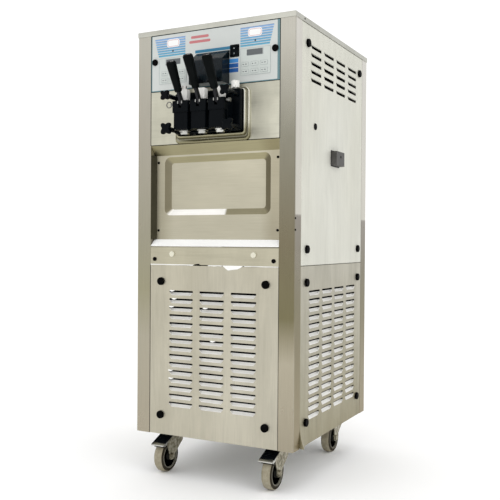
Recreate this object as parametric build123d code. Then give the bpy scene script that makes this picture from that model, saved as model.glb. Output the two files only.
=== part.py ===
"""Floor-standing twin-flavour soft ice cream machine on four castors.

Each function builds one piece, or one group of like pieces, and save() writes it as one STEP file.
Shapes are drawn in the cabinet's own frame, in millimetres: X from the mid-plane towards the viewer's
right, Y back from the front face, Z up from the cabinet's underside. save() then moves them to the
machine's frame, whose origin is on the floor under the middle of the cabinet.
"""

import os
from math import cos, radians, sin

from build123d import *

# Cabinet
WIDTH = 540
DEPTH = 620
HEIGHT = 1239  # underside to the roof's seam
FLOOR_GAP = 127  # floor to the cabinet's underside
SHEET = 1.5
RETURN = 12  # depth of a panel's folded edge
GAP = 0.5  # seam between two panels
POST_FACE = 48.0  # a corner post's width on the front and rear
POST_SIDE = 47  # and on the sides
POST_FOLD = 26  # depth of its inner fold
FRAME_INSET = 14  # the inner frame stands this far inside the side faces
ROOF_BAND = 16
ROOF_LIP = 1.5

# Heights of the seams on the front and sides
LOUVRE_TOP = 527
BAR = (529, 585)
ALCOVE = (585, 898)
FACE = (898.5, 1063)
CONTROL = (1064, 1237)
SIDE_SEAM = 530.5

# Splash panel, set back between two slopes, with a pressed recess
ALCOVE_DEPTH = 22
ALCOVE_SLOPE = (605, 869)
RECESS_OUTER = (368, 181)
RECESS_INNER = (328, 145)
RECESS_Z = 771.5
RECESS_DEPTH = 9

# Screw plugs: (X, Z) on the front, (Y, Z) on the right side; the left side mirrors it
LOUVRE_PLUGS = [(x, z) for x in (-181, 181) for z in (61, 476)]
BAR_PLUGS = [(x, 544.6) for x in (-205.5, 205.5)]
CONTROL_PLUGS = [(x, 1155.5) for x in (-207, 207)]
SPLASH_SCREWS = [(x, z) for x in (-207, 207) for z in (634, 846)]
SIDE_TOP_PLUGS = [(88, 1183), (538, 1183), (88, 579), (532, 579)]
SIDE_LOW_PLUGS = [(88, 481), (533, 481), (88, 69), (533, 69)]
POST_SCREWS = [(7, 635), (7, 668)]
HOLE_CAP = (147.5, 946.5)

# Louvres: three columns on the front and rear, four on each side
SLOT = (84, 10)
SLOT_PITCH = 24.6
SLOT_COLUMNS = (-108, 0, 108)
SLOT_SIDE_Y = (152, 256, 360, 467)
FRONT_ROWS = (440, 15)  # top row's height, number of rows
SIDE_LOW_ROWS = (447, 16)
SIDE_TOP_ROWS = (1180, 5)

# Freezing cylinders and the dispensing head in front of them
BARREL_X = 58
BARREL_Z = 975
BARREL_BORE = 44
BARREL_OUTER = 52
BARREL_LENGTH = 300
HEAD_Z = (923, 1044)
HEAD_HALF = 112
HEAD_BACK = -12
HEAD_FLANGE = -35
CHAMBER_FRONT = -84
TOP_BOX_FRONT = -87
CHAMBER_Z = (928, 978)
TOP_BOX_Z = 1012
VALVE_X = (-60.5, 0, 60.5)
VALVE_Y = -58
VALVE_R = 12
RUN = 0.05  # radial clearance of a running fit
PIVOT_Y = -75
PIVOT_Z = 1004
PIVOT_R = 4
LEVER_WIDTH = 8
HANDLE_LEAN = 29  # degrees forward from upright
GRIPS = ((38, 124), (45, 138), (38, 131))  # from the pivot to each grip's ends, left to right
GRIP_FOOT = (20, 18)  # its section at the lower end and at the top
GRIP_TOP = (29, 21)
SCREW_UPPER = (100, 1028, -112, 17.5)  # X, Z, the head's front and its radius over the lobes
SCREW_LOWER = (103, 932, -101, 21.5)

# Hoppers above the cylinders
HOPPER_X = (20, 190)
HOPPER_Y = (45, 330)
HOPPER_Z = (1062, 1250)
LID_TOP = 1262

# Leak drawer under the cylinders' rear seals
DRAWER_Y = (281, 350)
DRAWER_Z = (844, 888)
DRAWER_FRONT = 289
DRAWER_BACK = -100

# Castors
CASTER_X = 187
CASTER_Y = (80, 540)
WHEEL_R = 50
WHEEL_WIDTH = 30
TRAIL = 38
AXLE_R = 5
KINGPIN_R = 10
CHEEK_IN = 18.5
CHEEK = 3
PEDAL_PIVOT = (-66, -30.5)  # from the swivel axis, and from the underside
PEDAL_PIN_R = 2.5
PEDAL_HALF = 23

SIDES = (("left", -1), ("right", 1))


def block(x, y, z):
    """A box given by its low and high corner along each axis."""
    spans = [sorted(pair) for pair in (x, y, z)]
    size = [high - low for low, high in spans]
    middle = [(high + low) / 2 for low, high in spans]
    return Pos(*middle) * Box(*size)


def rod(radius, start, length, axis):
    """A cylinder that runs from start along an axis."""
    turn = {"X": Rot(0, 90, 0), "Y": Rot(-90, 0, 0), "Z": Rot(0, 0, 0)}[axis]
    from_start = (Align.CENTER, Align.CENTER, Align.MIN)
    return Pos(*start) * turn * Cylinder(radius, length, align=from_start)


def prism(points, low, high):
    """A solid with an outline drawn as (Y, Z) points, between two values of X."""
    outline = make_face(Polyline(*[(low, y, z) for y, z in points], close=True))
    return extrude(outline, high - low, dir=(1, 0, 0))


def slab_y(width, height, radius, middle, y0, y1):
    """A plate with rounded corners, facing the front; middle is its (X, Z)."""
    facing = Plane(origin=(middle[0], y0, middle[1]), x_dir=(1, 0, 0), z_dir=(0, 1, 0))
    return extrude(facing * RectangleRounded(width, height, radius), y1 - y0)


def dish_y(front, back, z, y0, y1, grow=0.0):
    """A rounded block that narrows from its front rectangle to its back one."""
    def section(size, y, radius):
        facing = Plane(origin=(0, y, z), x_dir=(1, 0, 0), z_dir=(0, 1, 0))
        return facing * RectangleRounded(size[0] + 2 * grow, size[1] + 2 * grow, radius)
    return loft([section(front, y0, 20), section(back, y1, 10)])


def mirrored(shape):
    return mirror(shape, Plane.YZ)


def both_sides(shape):
    return [shape, mirrored(shape)]


def save(name, *shapes):
    """Writes one node's solids, moved to the machine's frame."""
    solids = []
    for shape in shapes:
        solids += shape.solids()
    place = Pos(0, -DEPTH / 2, FLOOR_GAP)
    export_step(place * Compound(solids), f"parts/{name}.step")


# ---------------------------------------------------------------- cabinet


def corner_post(front):
    """One right-hand post: an outer corner with both edges folded in."""
    inner = WIDTH / 2 - POST_FACE
    side = WIDTH / 2
    tall = (0, HEIGHT)
    post = block((inner, side), (0, SHEET), tall)
    post += block((side - SHEET, side), (0, POST_SIDE), tall)
    post += block((inner, inner + SHEET), (0, POST_FOLD), tall)
    post += block((side - RETURN, side), (POST_SIDE - SHEET, POST_SIDE), tall)
    upright = post.edges().filter_by(Axis.Z)
    outer = [e for e in upright if e.center().X > side - 0.1 and e.center().Y < 0.1]
    post = drilled(fillet(outer, 1.4), POST_SCREWS if front else [], "X", 1.75)
    return post if front else mirror(post, Plane.XZ.offset(-DEPTH / 2))


def base_pan():
    half = WIDTH / 2 - FRAME_INSET
    span = (POST_FOLD + GAP, DEPTH - POST_FOLD - GAP)
    pan = block((-half, half), span, (0, 25))
    pan -= block((-half + 2, half - 2), (span[0] + 2, span[1] - 2), (2, 26))
    return pan


def mid_shelf():
    half = WIDTH / 2 - FRAME_INSET
    span = (POST_FOLD + GAP, DEPTH - POST_FOLD - GAP)
    shelf = block((-half, half), span, (515, 517))
    for x, y in ((-BARREL_X, 200), (BARREL_X, 120)):
        shelf -= rod(8, (x, y, 514), 4, "Z")
    return shelf


def roof_cover():
    half = WIDTH / 2 + ROOF_LIP
    top = HEIGHT + ROOF_BAND
    span = (-ROOF_LIP, DEPTH + ROOF_LIP)
    roof = block((-half, half), span, (HEIGHT, top))
    roof = fillet(roof.edges().group_by(Axis.Z)[-1], 2)
    roof -= block((-half + 3, half - 3), (span[0] + 3, span[1] - 3), (HEIGHT - 1, top - SHEET))
    roof -= block((-200, 200), (40, 340), (HEIGHT, top + 1))
    return roof


def hopper_lid():
    lid = block((-206, 206), (34, 346), (HEIGHT + ROOF_BAND + 0.3, LID_TOP))
    lid = fillet(lid.edges().group_by(Axis.Z)[-1], 3)
    lid -= block((-204, 204), (36, 344), (HEIGHT + ROOF_BAND, LID_TOP - 2))
    handle = block((-45, 45), (185, 195), (LID_TOP - 1, LID_TOP + 14))
    handle = fillet(handle.edges().filter_by(Axis.Y), 6)
    return lid + handle


def folded_panel(x, z):
    """A flat front panel with its four edges folded back."""
    panel = block(x, (0, RETURN), z)
    inner_x = (x[0] + SHEET, x[1] - SHEET)
    inner_z = (z[0] + SHEET, z[1] - SHEET)
    return panel - block(inner_x, (SHEET, RETURN + 1), inner_z)


def panel_half():
    return WIDTH / 2 - POST_FACE - GAP


def slots(columns, rows):
    """The louvre openings of a front panel as one group of boxes."""
    top, count = rows
    cuts = []
    for column in columns:
        for row in range(count):
            z = top - row * SLOT_PITCH
            half = SLOT[0] / 2
            cuts.append(block((column - half, column + half), (-1, SHEET + 1), (z - SLOT[1], z)))
    return cuts


def drilled(sheet, places, axis="Y", radius=4.25, face=0.0):
    """A front or side sheet with a hole behind each screw plug."""
    for across, z in places:
        if axis == "Y":
            sheet -= rod(radius, (across, face - 1, z), SHEET + 2, "Y")
        else:
            sheet -= rod(radius, (WIDTH / 2 - SHEET - 1, across, z), SHEET + 2, "X")
    return sheet


def front_louvre_panel():
    half = panel_half()
    panel = folded_panel((-half, half), (0, LOUVRE_TOP))
    return drilled(panel - slots(SLOT_COLUMNS, FRONT_ROWS), LOUVRE_PLUGS)


def rear_panels():
    half = panel_half()
    low = folded_panel((-half, half), (0, SIDE_SEAM - GAP))
    low -= slots(SLOT_COLUMNS, FRONT_ROWS)
    low -= rod(9, (-150, -1, 30), SHEET + 2, "Y")
    high = folded_panel((-half, half), (SIDE_SEAM + GAP, HEIGHT))
    high -= slots(SLOT_COLUMNS, SIDE_TOP_ROWS)
    middle = Plane.XZ.offset(-DEPTH / 2)
    return [mirror(low, middle), mirror(high, middle)]


def side_panel(z, rows):
    """A right-hand side panel with folded edges and four columns of louvres."""
    side = WIDTH / 2
    y = (POST_SIDE + GAP, DEPTH - POST_SIDE - GAP)
    panel = block((side - RETURN, side), y, z)
    inner_y = (y[0] + SHEET, y[1] - SHEET)
    panel -= block((side - RETURN - 1, side - SHEET), inner_y, (z[0] + SHEET, z[1] - SHEET))
    top, count = rows
    cuts = []
    for column in SLOT_SIDE_Y:
        for row in range(count):
            low = top - row * SLOT_PITCH - SLOT[1]
            half = SLOT[0] / 2
            through = (side - SHEET - 1, side + 1)
            cuts.append(block(through, (column - half, column + half), (low, low + SLOT[1])))
    return panel - cuts


def side_panels_upper():
    """The right panel also carries the leak drawer's sleeve."""
    plain = drilled(side_panel((SIDE_SEAM + GAP, HEIGHT), SIDE_TOP_ROWS), SIDE_TOP_PLUGS, "X")
    room = 0.8
    y = (DRAWER_Y[0] - room, DRAWER_Y[1] + room)
    z = (DRAWER_Z[0] - room, DRAWER_Z[1] + room)
    outer_y = (y[0] - SHEET, y[1] + SHEET)
    outer_z = (z[0] - SHEET, z[1] + SHEET)
    right = plain + block((100, WIDTH / 2 - SHEET), outer_y, outer_z)
    right -= block((90, WIDTH / 2 + 1), y, z)
    return [drilled(right, [HOLE_CAP], "X"), mirrored(plain)]


def side_panels_lower():
    panel = side_panel((0, SIDE_SEAM - GAP), SIDE_LOW_ROWS)
    return both_sides(drilled(panel, SIDE_LOW_PLUGS, "X"))


def splash_panel():
    """A folded sheet with a slope above and below, and a pressed recess in its middle."""
    low, high = ALCOVE
    back = ALCOVE_DEPTH
    outline = [(0, high), (back, ALCOVE_SLOPE[1]), (back, ALCOVE_SLOPE[0]), (0, low)]
    outline += [(0, low - SHEET), (back + SHEET, ALCOVE_SLOPE[0] - SHEET / 2)]
    outline += [(back + SHEET, ALCOVE_SLOPE[1] + SHEET / 2), (0, high + SHEET)]
    lowered = [(y, z - SHEET) for y, z in outline]
    panel = prism(lowered, -panel_half(), panel_half())
    panel = drilled(panel, SPLASH_SCREWS, "Y", 2.25, back)
    end = back + RECESS_DEPTH
    shell = dish_y(RECESS_OUTER, RECESS_INNER, RECESS_Z, back, end + SHEET, SHEET)
    hollow = dish_y(RECESS_OUTER, RECESS_INNER, RECESS_Z, back - 0.01, end)
    return panel + shell - hollow


def drip_bar():
    half = panel_half()
    bar = folded_panel((-half, half), (BAR[0], BAR[1] - 3.5))
    for x in (-141, 141):
        bar -= rod(4, (x, -1, 561), SHEET + 2, "Y")
    return drilled(bar, BAR_PLUGS, "Y", 3.5)


def shelf_buttons():
    buttons = []
    for x in (-141, 141):
        head = fillet(rod(8.5, (x, -5, 561), 5, "Y").edges().group_by(Axis.Y)[0], 2)
        buttons.append(head + rod(4, (x, -1, 561), 8, "Y"))
    return buttons


def faceplate():
    half = panel_half()
    plate = folded_panel((-half, half), FACE)
    return plate - block((-121, 121), (-1, RETURN + 1), (915, 1050))


def door_frame():
    """Two stepped lips of pressed steel around the dispensing head."""
    lip = slab_y(256, 156, 12, (0, 975), -8, 0)
    lip += slab_y(238, 129, 9, (0, 982.5), -18, -8)
    fronts = lip.edges().group_by(Axis.Y)[0]
    lip = fillet(fronts, 3)
    opening = slab_y(2 * HEAD_HALF + 0.8, HEAD_Z[1] - HEAD_Z[0] + 0.8, 6.3, (0, 983.5), -19, 1)
    return lip - opening


def control_panel():
    half = panel_half()
    panel = folded_panel((-half, half), CONTROL)
    panel -= block((60.5, 87.5), (-1, RETURN + 1), (1145, 1179))
    return drilled(panel, CONTROL_PLUGS)


def keypads():
    """One membrane keypad with six raised keys, on each side."""
    pad = slab_y(99, 79, 3, (142.5, 1125.5), -0.8, 0)
    for x in (109.5, 140.5, 171):
        for z in (1118.5, 1097.5):
            pad += slab_y(24, 13, 2, (x, z), -1.6, -0.8)
    pad -= slab_y(52, 17, 1, (140.5, 1152), -1, 1)
    return both_sides(pad)


def display_windows():
    return both_sides(slab_y(51.6, 16.6, 0.8, (140.5, 1152), -1.2, 0))


def rocker_switch():
    """Tilted on its pin to its upper position."""
    rocker = block((61.5, 86.5), (-4, 7), (1146.5, 1177.5))
    rocker -= Pos(74, -30, 1162) * Rot(0, 90, 0) * Cylinder(28, 40)
    tilt = Axis((0, 2, 1162), (1, 0, 0))
    return rocker.rotate(tilt, 6)


def handle_guard():
    """A smoked cover open at its back and its bottom."""
    outline = [(0, 1167), (-45, 1134), (-45, 1066), (0, 1066)]
    guard = prism(outline, -57, 57)
    wall = 2.5
    inner = [(1, 1167 - 3.8), (-45 + wall, 1134 - 1.4), (-45 + wall, 1065), (1, 1065)]
    return guard - prism(inner, -57 + wall, 57 - wall)


# ------------------------------------------------------- dispensing head


def dispensing_head():
    """The moulded block with three valve bores, a slot for each lever and the pin's bore."""
    width = 2 * HEAD_HALF
    flange = slab_y(width, HEAD_Z[1] - HEAD_Z[0], 6, (0, 983.5), HEAD_FLANGE, HEAD_BACK)
    head = fillet(flange.edges().group_by(Axis.Y)[0], 3)
    head += block((-88, 88), (CHAMBER_FRONT + 14, HEAD_FLANGE), CHAMBER_Z)
    for x in VALVE_X:
        chamber = block((x - 24, x + 24), (CHAMBER_FRONT, HEAD_FLANGE), CHAMBER_Z)
        head += fillet(chamber.edges().filter_by(Axis.Z).group_by(Axis.Y)[0], 3)
        top = block((x - 27, x + 27), (TOP_BOX_FRONT, HEAD_FLANGE), (CHAMBER_Z[1], TOP_BOX_Z))
        head += fillet(top.edges().filter_by(Axis.Z).group_by(Axis.Y)[0], 3)
    for x in VALVE_X:
        head -= rod(VALVE_R, (x, VALVE_Y, CHAMBER_Z[0] + 3), 120, "Z")
        head -= rod(8, (x, VALVE_Y, CHAMBER_Z[0] - 1), 6, "Z")
        half = LEVER_WIDTH / 2 + 1
        head -= block((x - half, x + half), (TOP_BOX_FRONT - 1, VALVE_Y), (991, TOP_BOX_Z + 1))
        head -= block((x - 9, x + 9), (TOP_BOX_FRONT - 1, TOP_BOX_FRONT + 5), (1000, TOP_BOX_Z + 1))
    head -= rod(PIVOT_R + RUN, (-100, PIVOT_Y, PIVOT_Z), 200, "X")
    for x in both_x(90):
        head -= rod(4 + RUN, (x, -24, 1010), 60, "Z")
    for x, z, *_ in (SCREW_UPPER, SCREW_LOWER):
        for side in both_x(x):
            head -= rod(4 + RUN, (side, HEAD_FLANGE - 1, z), 40, "Y")
    for x in both_x(30):
        head -= rod(6, (x, HEAD_FLANGE - 12, 953), 60, "Y")
    return head


def both_x(x):
    return (-x, x)


def pivot_pin():
    """A rod with a ring pull at the left end and a domed cap at the right."""
    pin = rod(PIVOT_R, (-98, PIVOT_Y, PIVOT_Z), 194, "X")
    cap = rod(6, (96, PIVOT_Y, PIVOT_Z), 6, "X")
    ring = Pos(-105.5, PIVOT_Y, PIVOT_Z) * Rot(90, 0, 0) * Torus(8.5, 1.5)
    return pin + cap + ring


def draw_nozzles():
    """Bright outlets under the valves, each with a through bore."""
    nozzles = []
    for x in VALVE_X:
        body = rod(14, (x, VALVE_Y, 915), 13, "Z")
        body = chamfer(body.edges().group_by(Axis.Z)[0], 3)
        nozzles.append(body - rod(8, (x, VALVE_Y, 914), 15, "Z"))
    return nozzles


def valve_piston(x):
    """A white plunger; its square top has a slot for the lever's tail."""
    low = CHAMBER_Z[0] + 5
    piston = rod(VALVE_R - RUN, (x, VALVE_Y, low), 1013 - low, "Z")
    top = block((x - 12.5, x + 12.5), (VALVE_Y - 12, VALVE_Y + 12), (1013, 1052))
    piston += fillet(top.edges().filter_by(Axis.Z), 3)
    half = LEVER_WIDTH / 2 + 1
    piston -= block((x - half, x + half), (VALVE_Y - 13, VALVE_Y + 9), (980, 1034))
    return piston


def draw_handle(x, grip_ends):
    """A steel lever on the pivot pin with a moulded grip, drawn upright and then leaned forward."""
    half = LEVER_WIDTH / 2
    foot, top = grip_ends
    tang = foot + 30
    lever = rod(9, (x - half, 0, 0), LEVER_WIDTH, "X")
    lever += block((x - half, x + half), (-6, 6), (4, tang))
    lean = Axis((0, 0, 0), (1, 0, 0))
    lever = lever.rotate(lean, HANDLE_LEAN)
    lever += block((x - half, x + half), (0, 20), (-3, 3))
    low = Plane.XY.offset(foot) * Pos(x, 0) * RectangleRounded(*GRIP_FOOT, 6)
    high = Plane.XY.offset(top) * Pos(x, 0) * RectangleRounded(*GRIP_TOP, 7)
    grip = loft([low, high]) - block((x - half, x + half), (-6, 6), (0, tang))
    cap = Pos(x, 0, top + 2) * Box(25, 18, 4)
    cap = fillet(cap.edges().filter_by(Axis.Z), 5)
    bore = rod(PIVOT_R + RUN, (x - 20, 0, 0), 40, "X")
    place = Pos(0, PIVOT_Y, PIVOT_Z)
    leaned = [shape.rotate(lean, HANDLE_LEAN) for shape in (grip, cap)]
    return [place * shape for shape in (lever - bore, *leaned)]


def prime_plug(x):
    """A small cross-headed plug that lifts to let air out of a cylinder."""
    stem = rod(4, (x, -24, 1012), 36, "Z")
    head = Pos(x, -24, 1058) * Box(24, 8, 20) + Pos(x, -24, 1058) * Box(8, 24, 20)
    head = fillet(head.edges().filter_by(Axis.Z), 1.5)
    return stem + head


def hand_screw(x, z, front, radius):
    """A four-lobed knob on a long sleeve, with its bolt running back through the flange."""
    reach = 0.63 * radius
    head = rod(reach, (x, front, z), 12, "Y")
    for quarter in range(4):
        angle = radians(45 + 90 * quarter)
        lobe = (x + reach * cos(angle), front, z + reach * sin(angle))
        head += rod(radius - reach, lobe, 12, "Y")
    sleeve = rod(7, (x, front + 12, z), HEAD_FLANGE - 0.3 - front - 12, "Y")
    bolt = rod(4, (x, HEAD_FLANGE - 1, z), 1 - HEAD_FLANGE + 4, "Y")
    return head + sleeve + bolt


def door_gaskets():
    rings = []
    for x in both_x(BARREL_X):
        ring = rod(BARREL_BORE + 5, (x, HEAD_BACK, BARREL_Z), 1, "Y")
        rings.append(ring - rod(BARREL_BORE, (x, HEAD_BACK - 1, BARREL_Z), 3, "Y"))
    return rings


def freezing_cylinders():
    """Insulated barrels, each with a front flange and a rear wall that carries the shaft."""
    barrel = rod(BARREL_OUTER, (BARREL_X, -6, BARREL_Z), BARREL_LENGTH + 6, "Y")
    flange = block((1, 111), (-11, -3), (924, 1043))
    barrel += fillet(flange.edges().filter_by(Axis.Y), 6)
    barrel -= rod(BARREL_BORE, (BARREL_X, -12, BARREL_Z), BARREL_LENGTH + 8, "Y")
    barrel -= rod(9, (BARREL_X, 0, BARREL_Z), BARREL_LENGTH + 10, "Y")
    for x, z, *_ in (SCREW_UPPER, SCREW_LOWER):
        barrel -= rod(4 + RUN, (x, -20, z), 40, "Y")
    return both_sides(barrel)


def beater(x):
    """A shaft with two scraper bars and a spiral of arms."""
    shaft = rod(9 - RUN, (x, 20, BARREL_Z), 320, "Y")
    for turn in (0, 180):
        bar = Pos(x, 150, BARREL_Z) * Rot(0, turn, 0) * Pos(0, 0, 40) * Box(10, 260, 5)
        shaft += bar
    for step in range(13):
        arm = Pos(x, 30 + 20 * step, BARREL_Z) * Rot(0, 30 * step, 0) * Box(12, 7, 80)
        shaft += arm
    return shaft


def gear_motors():
    """For each cylinder a gearbox with a motor flanged to its back."""
    box_y = (BARREL_LENGTH + 6, 400)
    box = block((BARREL_X - 46, BARREL_X + 46), box_y, (BARREL_Z - 50, BARREL_Z + 50))
    box = fillet(box.edges().filter_by(Axis.Y), 10)
    box -= rod(9.4, (BARREL_X, BARREL_LENGTH, BARREL_Z), 50, "Y")
    motor = rod(54, (BARREL_X, 400, BARREL_Z), 160, "Y")
    motor = fillet(motor.edges().group_by(Axis.Y)[-1], 8)
    return both_sides(box) + both_sides(motor)


def hoppers():
    """Open tubs with a rim and a feed tube down to their cylinder."""
    tub = block(HOPPER_X, HOPPER_Y, HOPPER_Z)
    tub = fillet(tub.edges().group_by(Axis.Z)[0] + tub.edges().filter_by(Axis.Z), 12)
    rim = block((HOPPER_X[0] - 8, HOPPER_X[1] + 8), (41, 338), (HOPPER_Z[1] - 1.5, HOPPER_Z[1]))
    inner_x = (HOPPER_X[0] + SHEET, HOPPER_X[1] - SHEET)
    inner_y = (HOPPER_Y[0] + SHEET, HOPPER_Y[1] - SHEET)
    hollow = block(inner_x, inner_y, (HOPPER_Z[0] + SHEET, HOPPER_Z[1] + 20))
    hollow = fillet(hollow.edges().group_by(Axis.Z)[0] + hollow.edges().filter_by(Axis.Z), 10.5)
    tub = tub + rim - hollow
    tube = rod(10, (BARREL_X, 250, BARREL_Z + 40), HOPPER_Z[0] - BARREL_Z - 40, "Z")
    tube -= rod(BARREL_OUTER, (BARREL_X, 200, BARREL_Z), 100, "Y")
    tub += tube
    tub -= rod(7, (BARREL_X, 250, BARREL_Z + 41), 80, "Z")
    return both_sides(tub)


# ------------------------------------------------- refrigeration and power


def compressor():
    """The hermetic pot and, beside it, the liquid receiver."""
    pot = rod(85, (-110, 200, 2), 298, "Z")
    pot = fillet(pot.edges().group_by(Axis.Z)[-1], 40)
    receiver = rod(40, (BARREL_X, 120, 2), 258, "Z")
    receiver = fillet(receiver.edges().group_by(Axis.Z)[-1], 18)
    return pot, receiver


def condenser():
    """A finned block with the fan's shroud in front of it."""
    fins = block((-180, 180), (500, 560), (60, 460))
    for step in range(11):
        z = 80 + 36 * step
        fins -= block((-176, 176), (499, 512), (z - 3, z + 3))
    shroud = block((-180, 180), (455, 500), (60, 460))
    shroud -= block((-176, 176), (458, 501), (64, 456))
    shroud -= rod(158, (0, 450, 260), 20, "Y")
    foot = block((-180, 180), (455, 560), (2, 60)) - block((-176, 176), (454, 561), (1, 56))
    return fins, shroud, foot


def fan_motor():
    """The motor hangs from a flat bar across the shroud."""
    motor = fillet(rod(42, (0, 370, 260), 77, "Y").edges().group_by(Axis.Y)[0], 6)
    motor += block((-179, 179), (447, 455), (250, 270))
    return motor - rod(5 + RUN, (0, 430, 260), 30, "Y")


def condenser_fan():
    """Five pitched blades on a hub and a stub shaft."""
    fan = rod(30, (0, 464, 260), 24, "Y") + rod(5, (0, 436, 260), 30, "Y")
    for step in range(5):
        blade = Box(124, 3, 62)
        blade = fillet(blade.edges().filter_by(Axis.Y).group_by(Axis.X)[-1], 20)
        fan += Pos(0, 476, 260) * Rot(0, 72 * step, 0) * Pos(88, 0, 0) * Rot(32, 0, 0) * blade
    outside = rod(200, (0, 440, 260), 80, "Y") - rod(150, (0, 430, 260), 100, "Y")
    return fan - outside


def pipe(points, radius, bend):
    route = FilletPolyline(*points, radius=bend)
    section = Plane(origin=route @ 0, z_dir=route % 0) * Circle(radius)
    return sweep(section, path=route)


def refrigerant_pipes():
    under_barrel = BARREL_Z - BARREL_OUTER
    left = pipe([(-110, 200, 300), (-110, 200, 420), (-58, 200, 420), (-58, 200, under_barrel)], 5, 20)
    right = rod(5, (BARREL_X, 120, 260), under_barrel - 260, "Z")
    liquid = [(140, 530, 460), (140, 530, 490), (140, 120, 490), (140, 120, 200), (98, 120, 200)]
    discharge = [(-110, 285, 200), (-110, 340, 200), (-110, 340, 490), (-110, 530, 490)]
    discharge.append((-110, 530, 460))
    return left, right, pipe(liquid, 5, 14), pipe(discharge, 5, 14)


def electrical_box():
    box = block((-200, -20), (380, 560), (517, 677))
    box = fillet(box.edges().filter_by(Axis.Z), 3)
    return box - block((-197, -23), (383, 557), (520, 674))


def cord_gland():
    """A hexagonal inlet for the supply cord in the lower rear panel."""
    gland = rod(9, (-150, DEPTH - SHEET, 30), 8, "Y")
    hexagon = Plane(origin=(-150, DEPTH, 30), z_dir=(0, 1, 0)) * RegularPolygon(13, 6)
    gland += extrude(hexagon, 9)
    gland += rod(9, (-150, DEPTH, 30), 16, "Y")
    return gland - rod(5, (-150, DEPTH - 10, 30), 40, "Y")


# ------------------------------------------------------------ fasteners


def knob(middle, axis, radius=12, proud=7):
    """A black screw plug; axis says which way it faces."""
    x, y, z = middle
    stem_radius = min(4, radius / 2)
    soften = min(2, proud / 2)
    if axis == "Y":
        stem = rod(stem_radius, (x, 0, z), 8, "Y")
        head = rod(radius, (x, -proud, z), proud, "Y")
        return fillet(head.edges().group_by(Axis.Y)[0], soften) + stem
    stem = rod(stem_radius, (x - 8, y, z), 8, "X")
    head = rod(radius, (x, y, z), proud, "X")
    return fillet(head.edges().group_by(Axis.X)[-1], soften) + stem


def panel_fasteners():
    """Every black screw plug and screw head on the front and the sides."""
    side = WIDTH / 2
    heads = [knob((x, 0, z), "Y") for x, z in LOUVRE_PLUGS]
    heads += [knob((x, 0, z), "Y", 6.5, 3) for x, z in BAR_PLUGS]
    heads += [knob((x, 0, z), "Y", 10, 5) for x, z in CONTROL_PLUGS]
    heads += [Pos(0, ALCOVE_DEPTH, 0) * knob((x, 0, z), "Y", 4, 2.2) for x, z in SPLASH_SCREWS]
    heads.append(knob((side, *HOLE_CAP), "X", 10, 3))
    for y, z in SIDE_TOP_PLUGS + SIDE_LOW_PLUGS:
        heads += both_sides(knob((side, y, z), "X"))
    for y, z in POST_SCREWS:
        heads += both_sides(knob((side, y, z), "X", 3, 1.5))
    return heads


# -------------------------------------------------------------- drawer


def leak_drawer():
    """A long open tray with a pull hole in its end face."""
    tray = block((DRAWER_BACK, DRAWER_FRONT), DRAWER_Y, DRAWER_Z)
    inner_y = (DRAWER_Y[0] + SHEET, DRAWER_Y[1] - SHEET)
    tray -= block((DRAWER_BACK + SHEET, DRAWER_FRONT - 2), inner_y, (DRAWER_Z[0] + SHEET, 900))
    return tray - rod(4.75, (DRAWER_FRONT - 5, 318, 872), 10, "X")


# -------------------------------------------------------------- castors


def caster_plates():
    """Four bolted top plates, each with the kingpin its fork turns on."""
    plates = []
    for x in both_x(CASTER_X):
        for y in CASTER_Y:
            plate = Pos(x, y, -1.5) * Box(70, 90, 3)
            plate = fillet(plate.edges().filter_by(Axis.Z), 6)
            plate += rod(KINGPIN_R, (x, y, -15), 13, "Z")
            plates.append(plate)
    return plates


def cheek(pedal):
    """One side plate of a fork, around the axle and, with a brake, the pedal's pivot."""
    axle = (-TRAIL, WHEEL_R - FLOOR_GAP)
    outline = [(26, -16), (-33, -16)]
    if pedal:
        outline += [(-45, -19.5), (-61, -27.5), (-66, -34)]
    else:
        outline += [(-46, -18), (-47, -32)]
    outline += [(axle[0] - 11, axle[1] + 6), (axle[0] + 12, axle[1]), (26, -38)]
    plate = prism(outline, CHEEK_IN, CHEEK_IN + CHEEK)
    if pedal:
        plate += rod(PEDAL_PIN_R + 1, (CHEEK_IN, *PEDAL_PIVOT), CHEEK, "X")
    return plate + rod(12, (CHEEK_IN, *axle), CHEEK, "X")


def caster_fork(x, y, pedal):
    """Swivel head, two cheeks and the axle bolt."""
    axle_z = WHEEL_R - FLOOR_GAP
    fork = rod(29, (0, 0, -16), 12, "Z") - rod(KINGPIN_R + RUN, (0, 0, -17), 14, "Z")
    fork += block((-CHEEK_IN - CHEEK, CHEEK_IN + CHEEK), (-29, 26), (-19.5, -16))
    for side in both_sides(cheek(pedal)):
        fork += side
    reach = CHEEK_IN + CHEEK
    bolt = rod(AXLE_R, (-reach - 5, -TRAIL, axle_z), 2 * reach + 10, "X")
    for low in (-reach - 5, reach):
        bolt += rod(9, (low, -TRAIL, axle_z), 5, "X")
    if pedal:
        bolt += rod(PEDAL_PIN_R, (-reach, *PEDAL_PIVOT), 2 * reach, "X")
    return Pos(x, y, 0) * (fork + bolt)


def caster_wheel(x, y):
    """A tyre on a dished hub, turning on the axle bolt."""
    axle_z = WHEEL_R - FLOOR_GAP
    wheel = rod(WHEEL_R, (-WHEEL_WIDTH / 2, 0, 0), WHEEL_WIDTH, "X")
    wheel = fillet(wheel.edges().filter_by(GeomType.CIRCLE), 5)
    for low in (-WHEEL_WIDTH / 2 - 1, WHEEL_WIDTH / 2 - 5):
        groove = rod(36, (low, 0, 0), 6, "X") - rod(13, (low, 0, 0), 6, "X")
        wheel -= groove
    for low in (-17.5, WHEEL_WIDTH / 2):
        wheel += rod(11, (low, 0, 0), 2.5, "X")
    wheel -= rod(AXLE_R + RUN, (-30, 0, 0), 60, "X")
    return Pos(x, y - TRAIL, axle_z) * wheel


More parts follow.
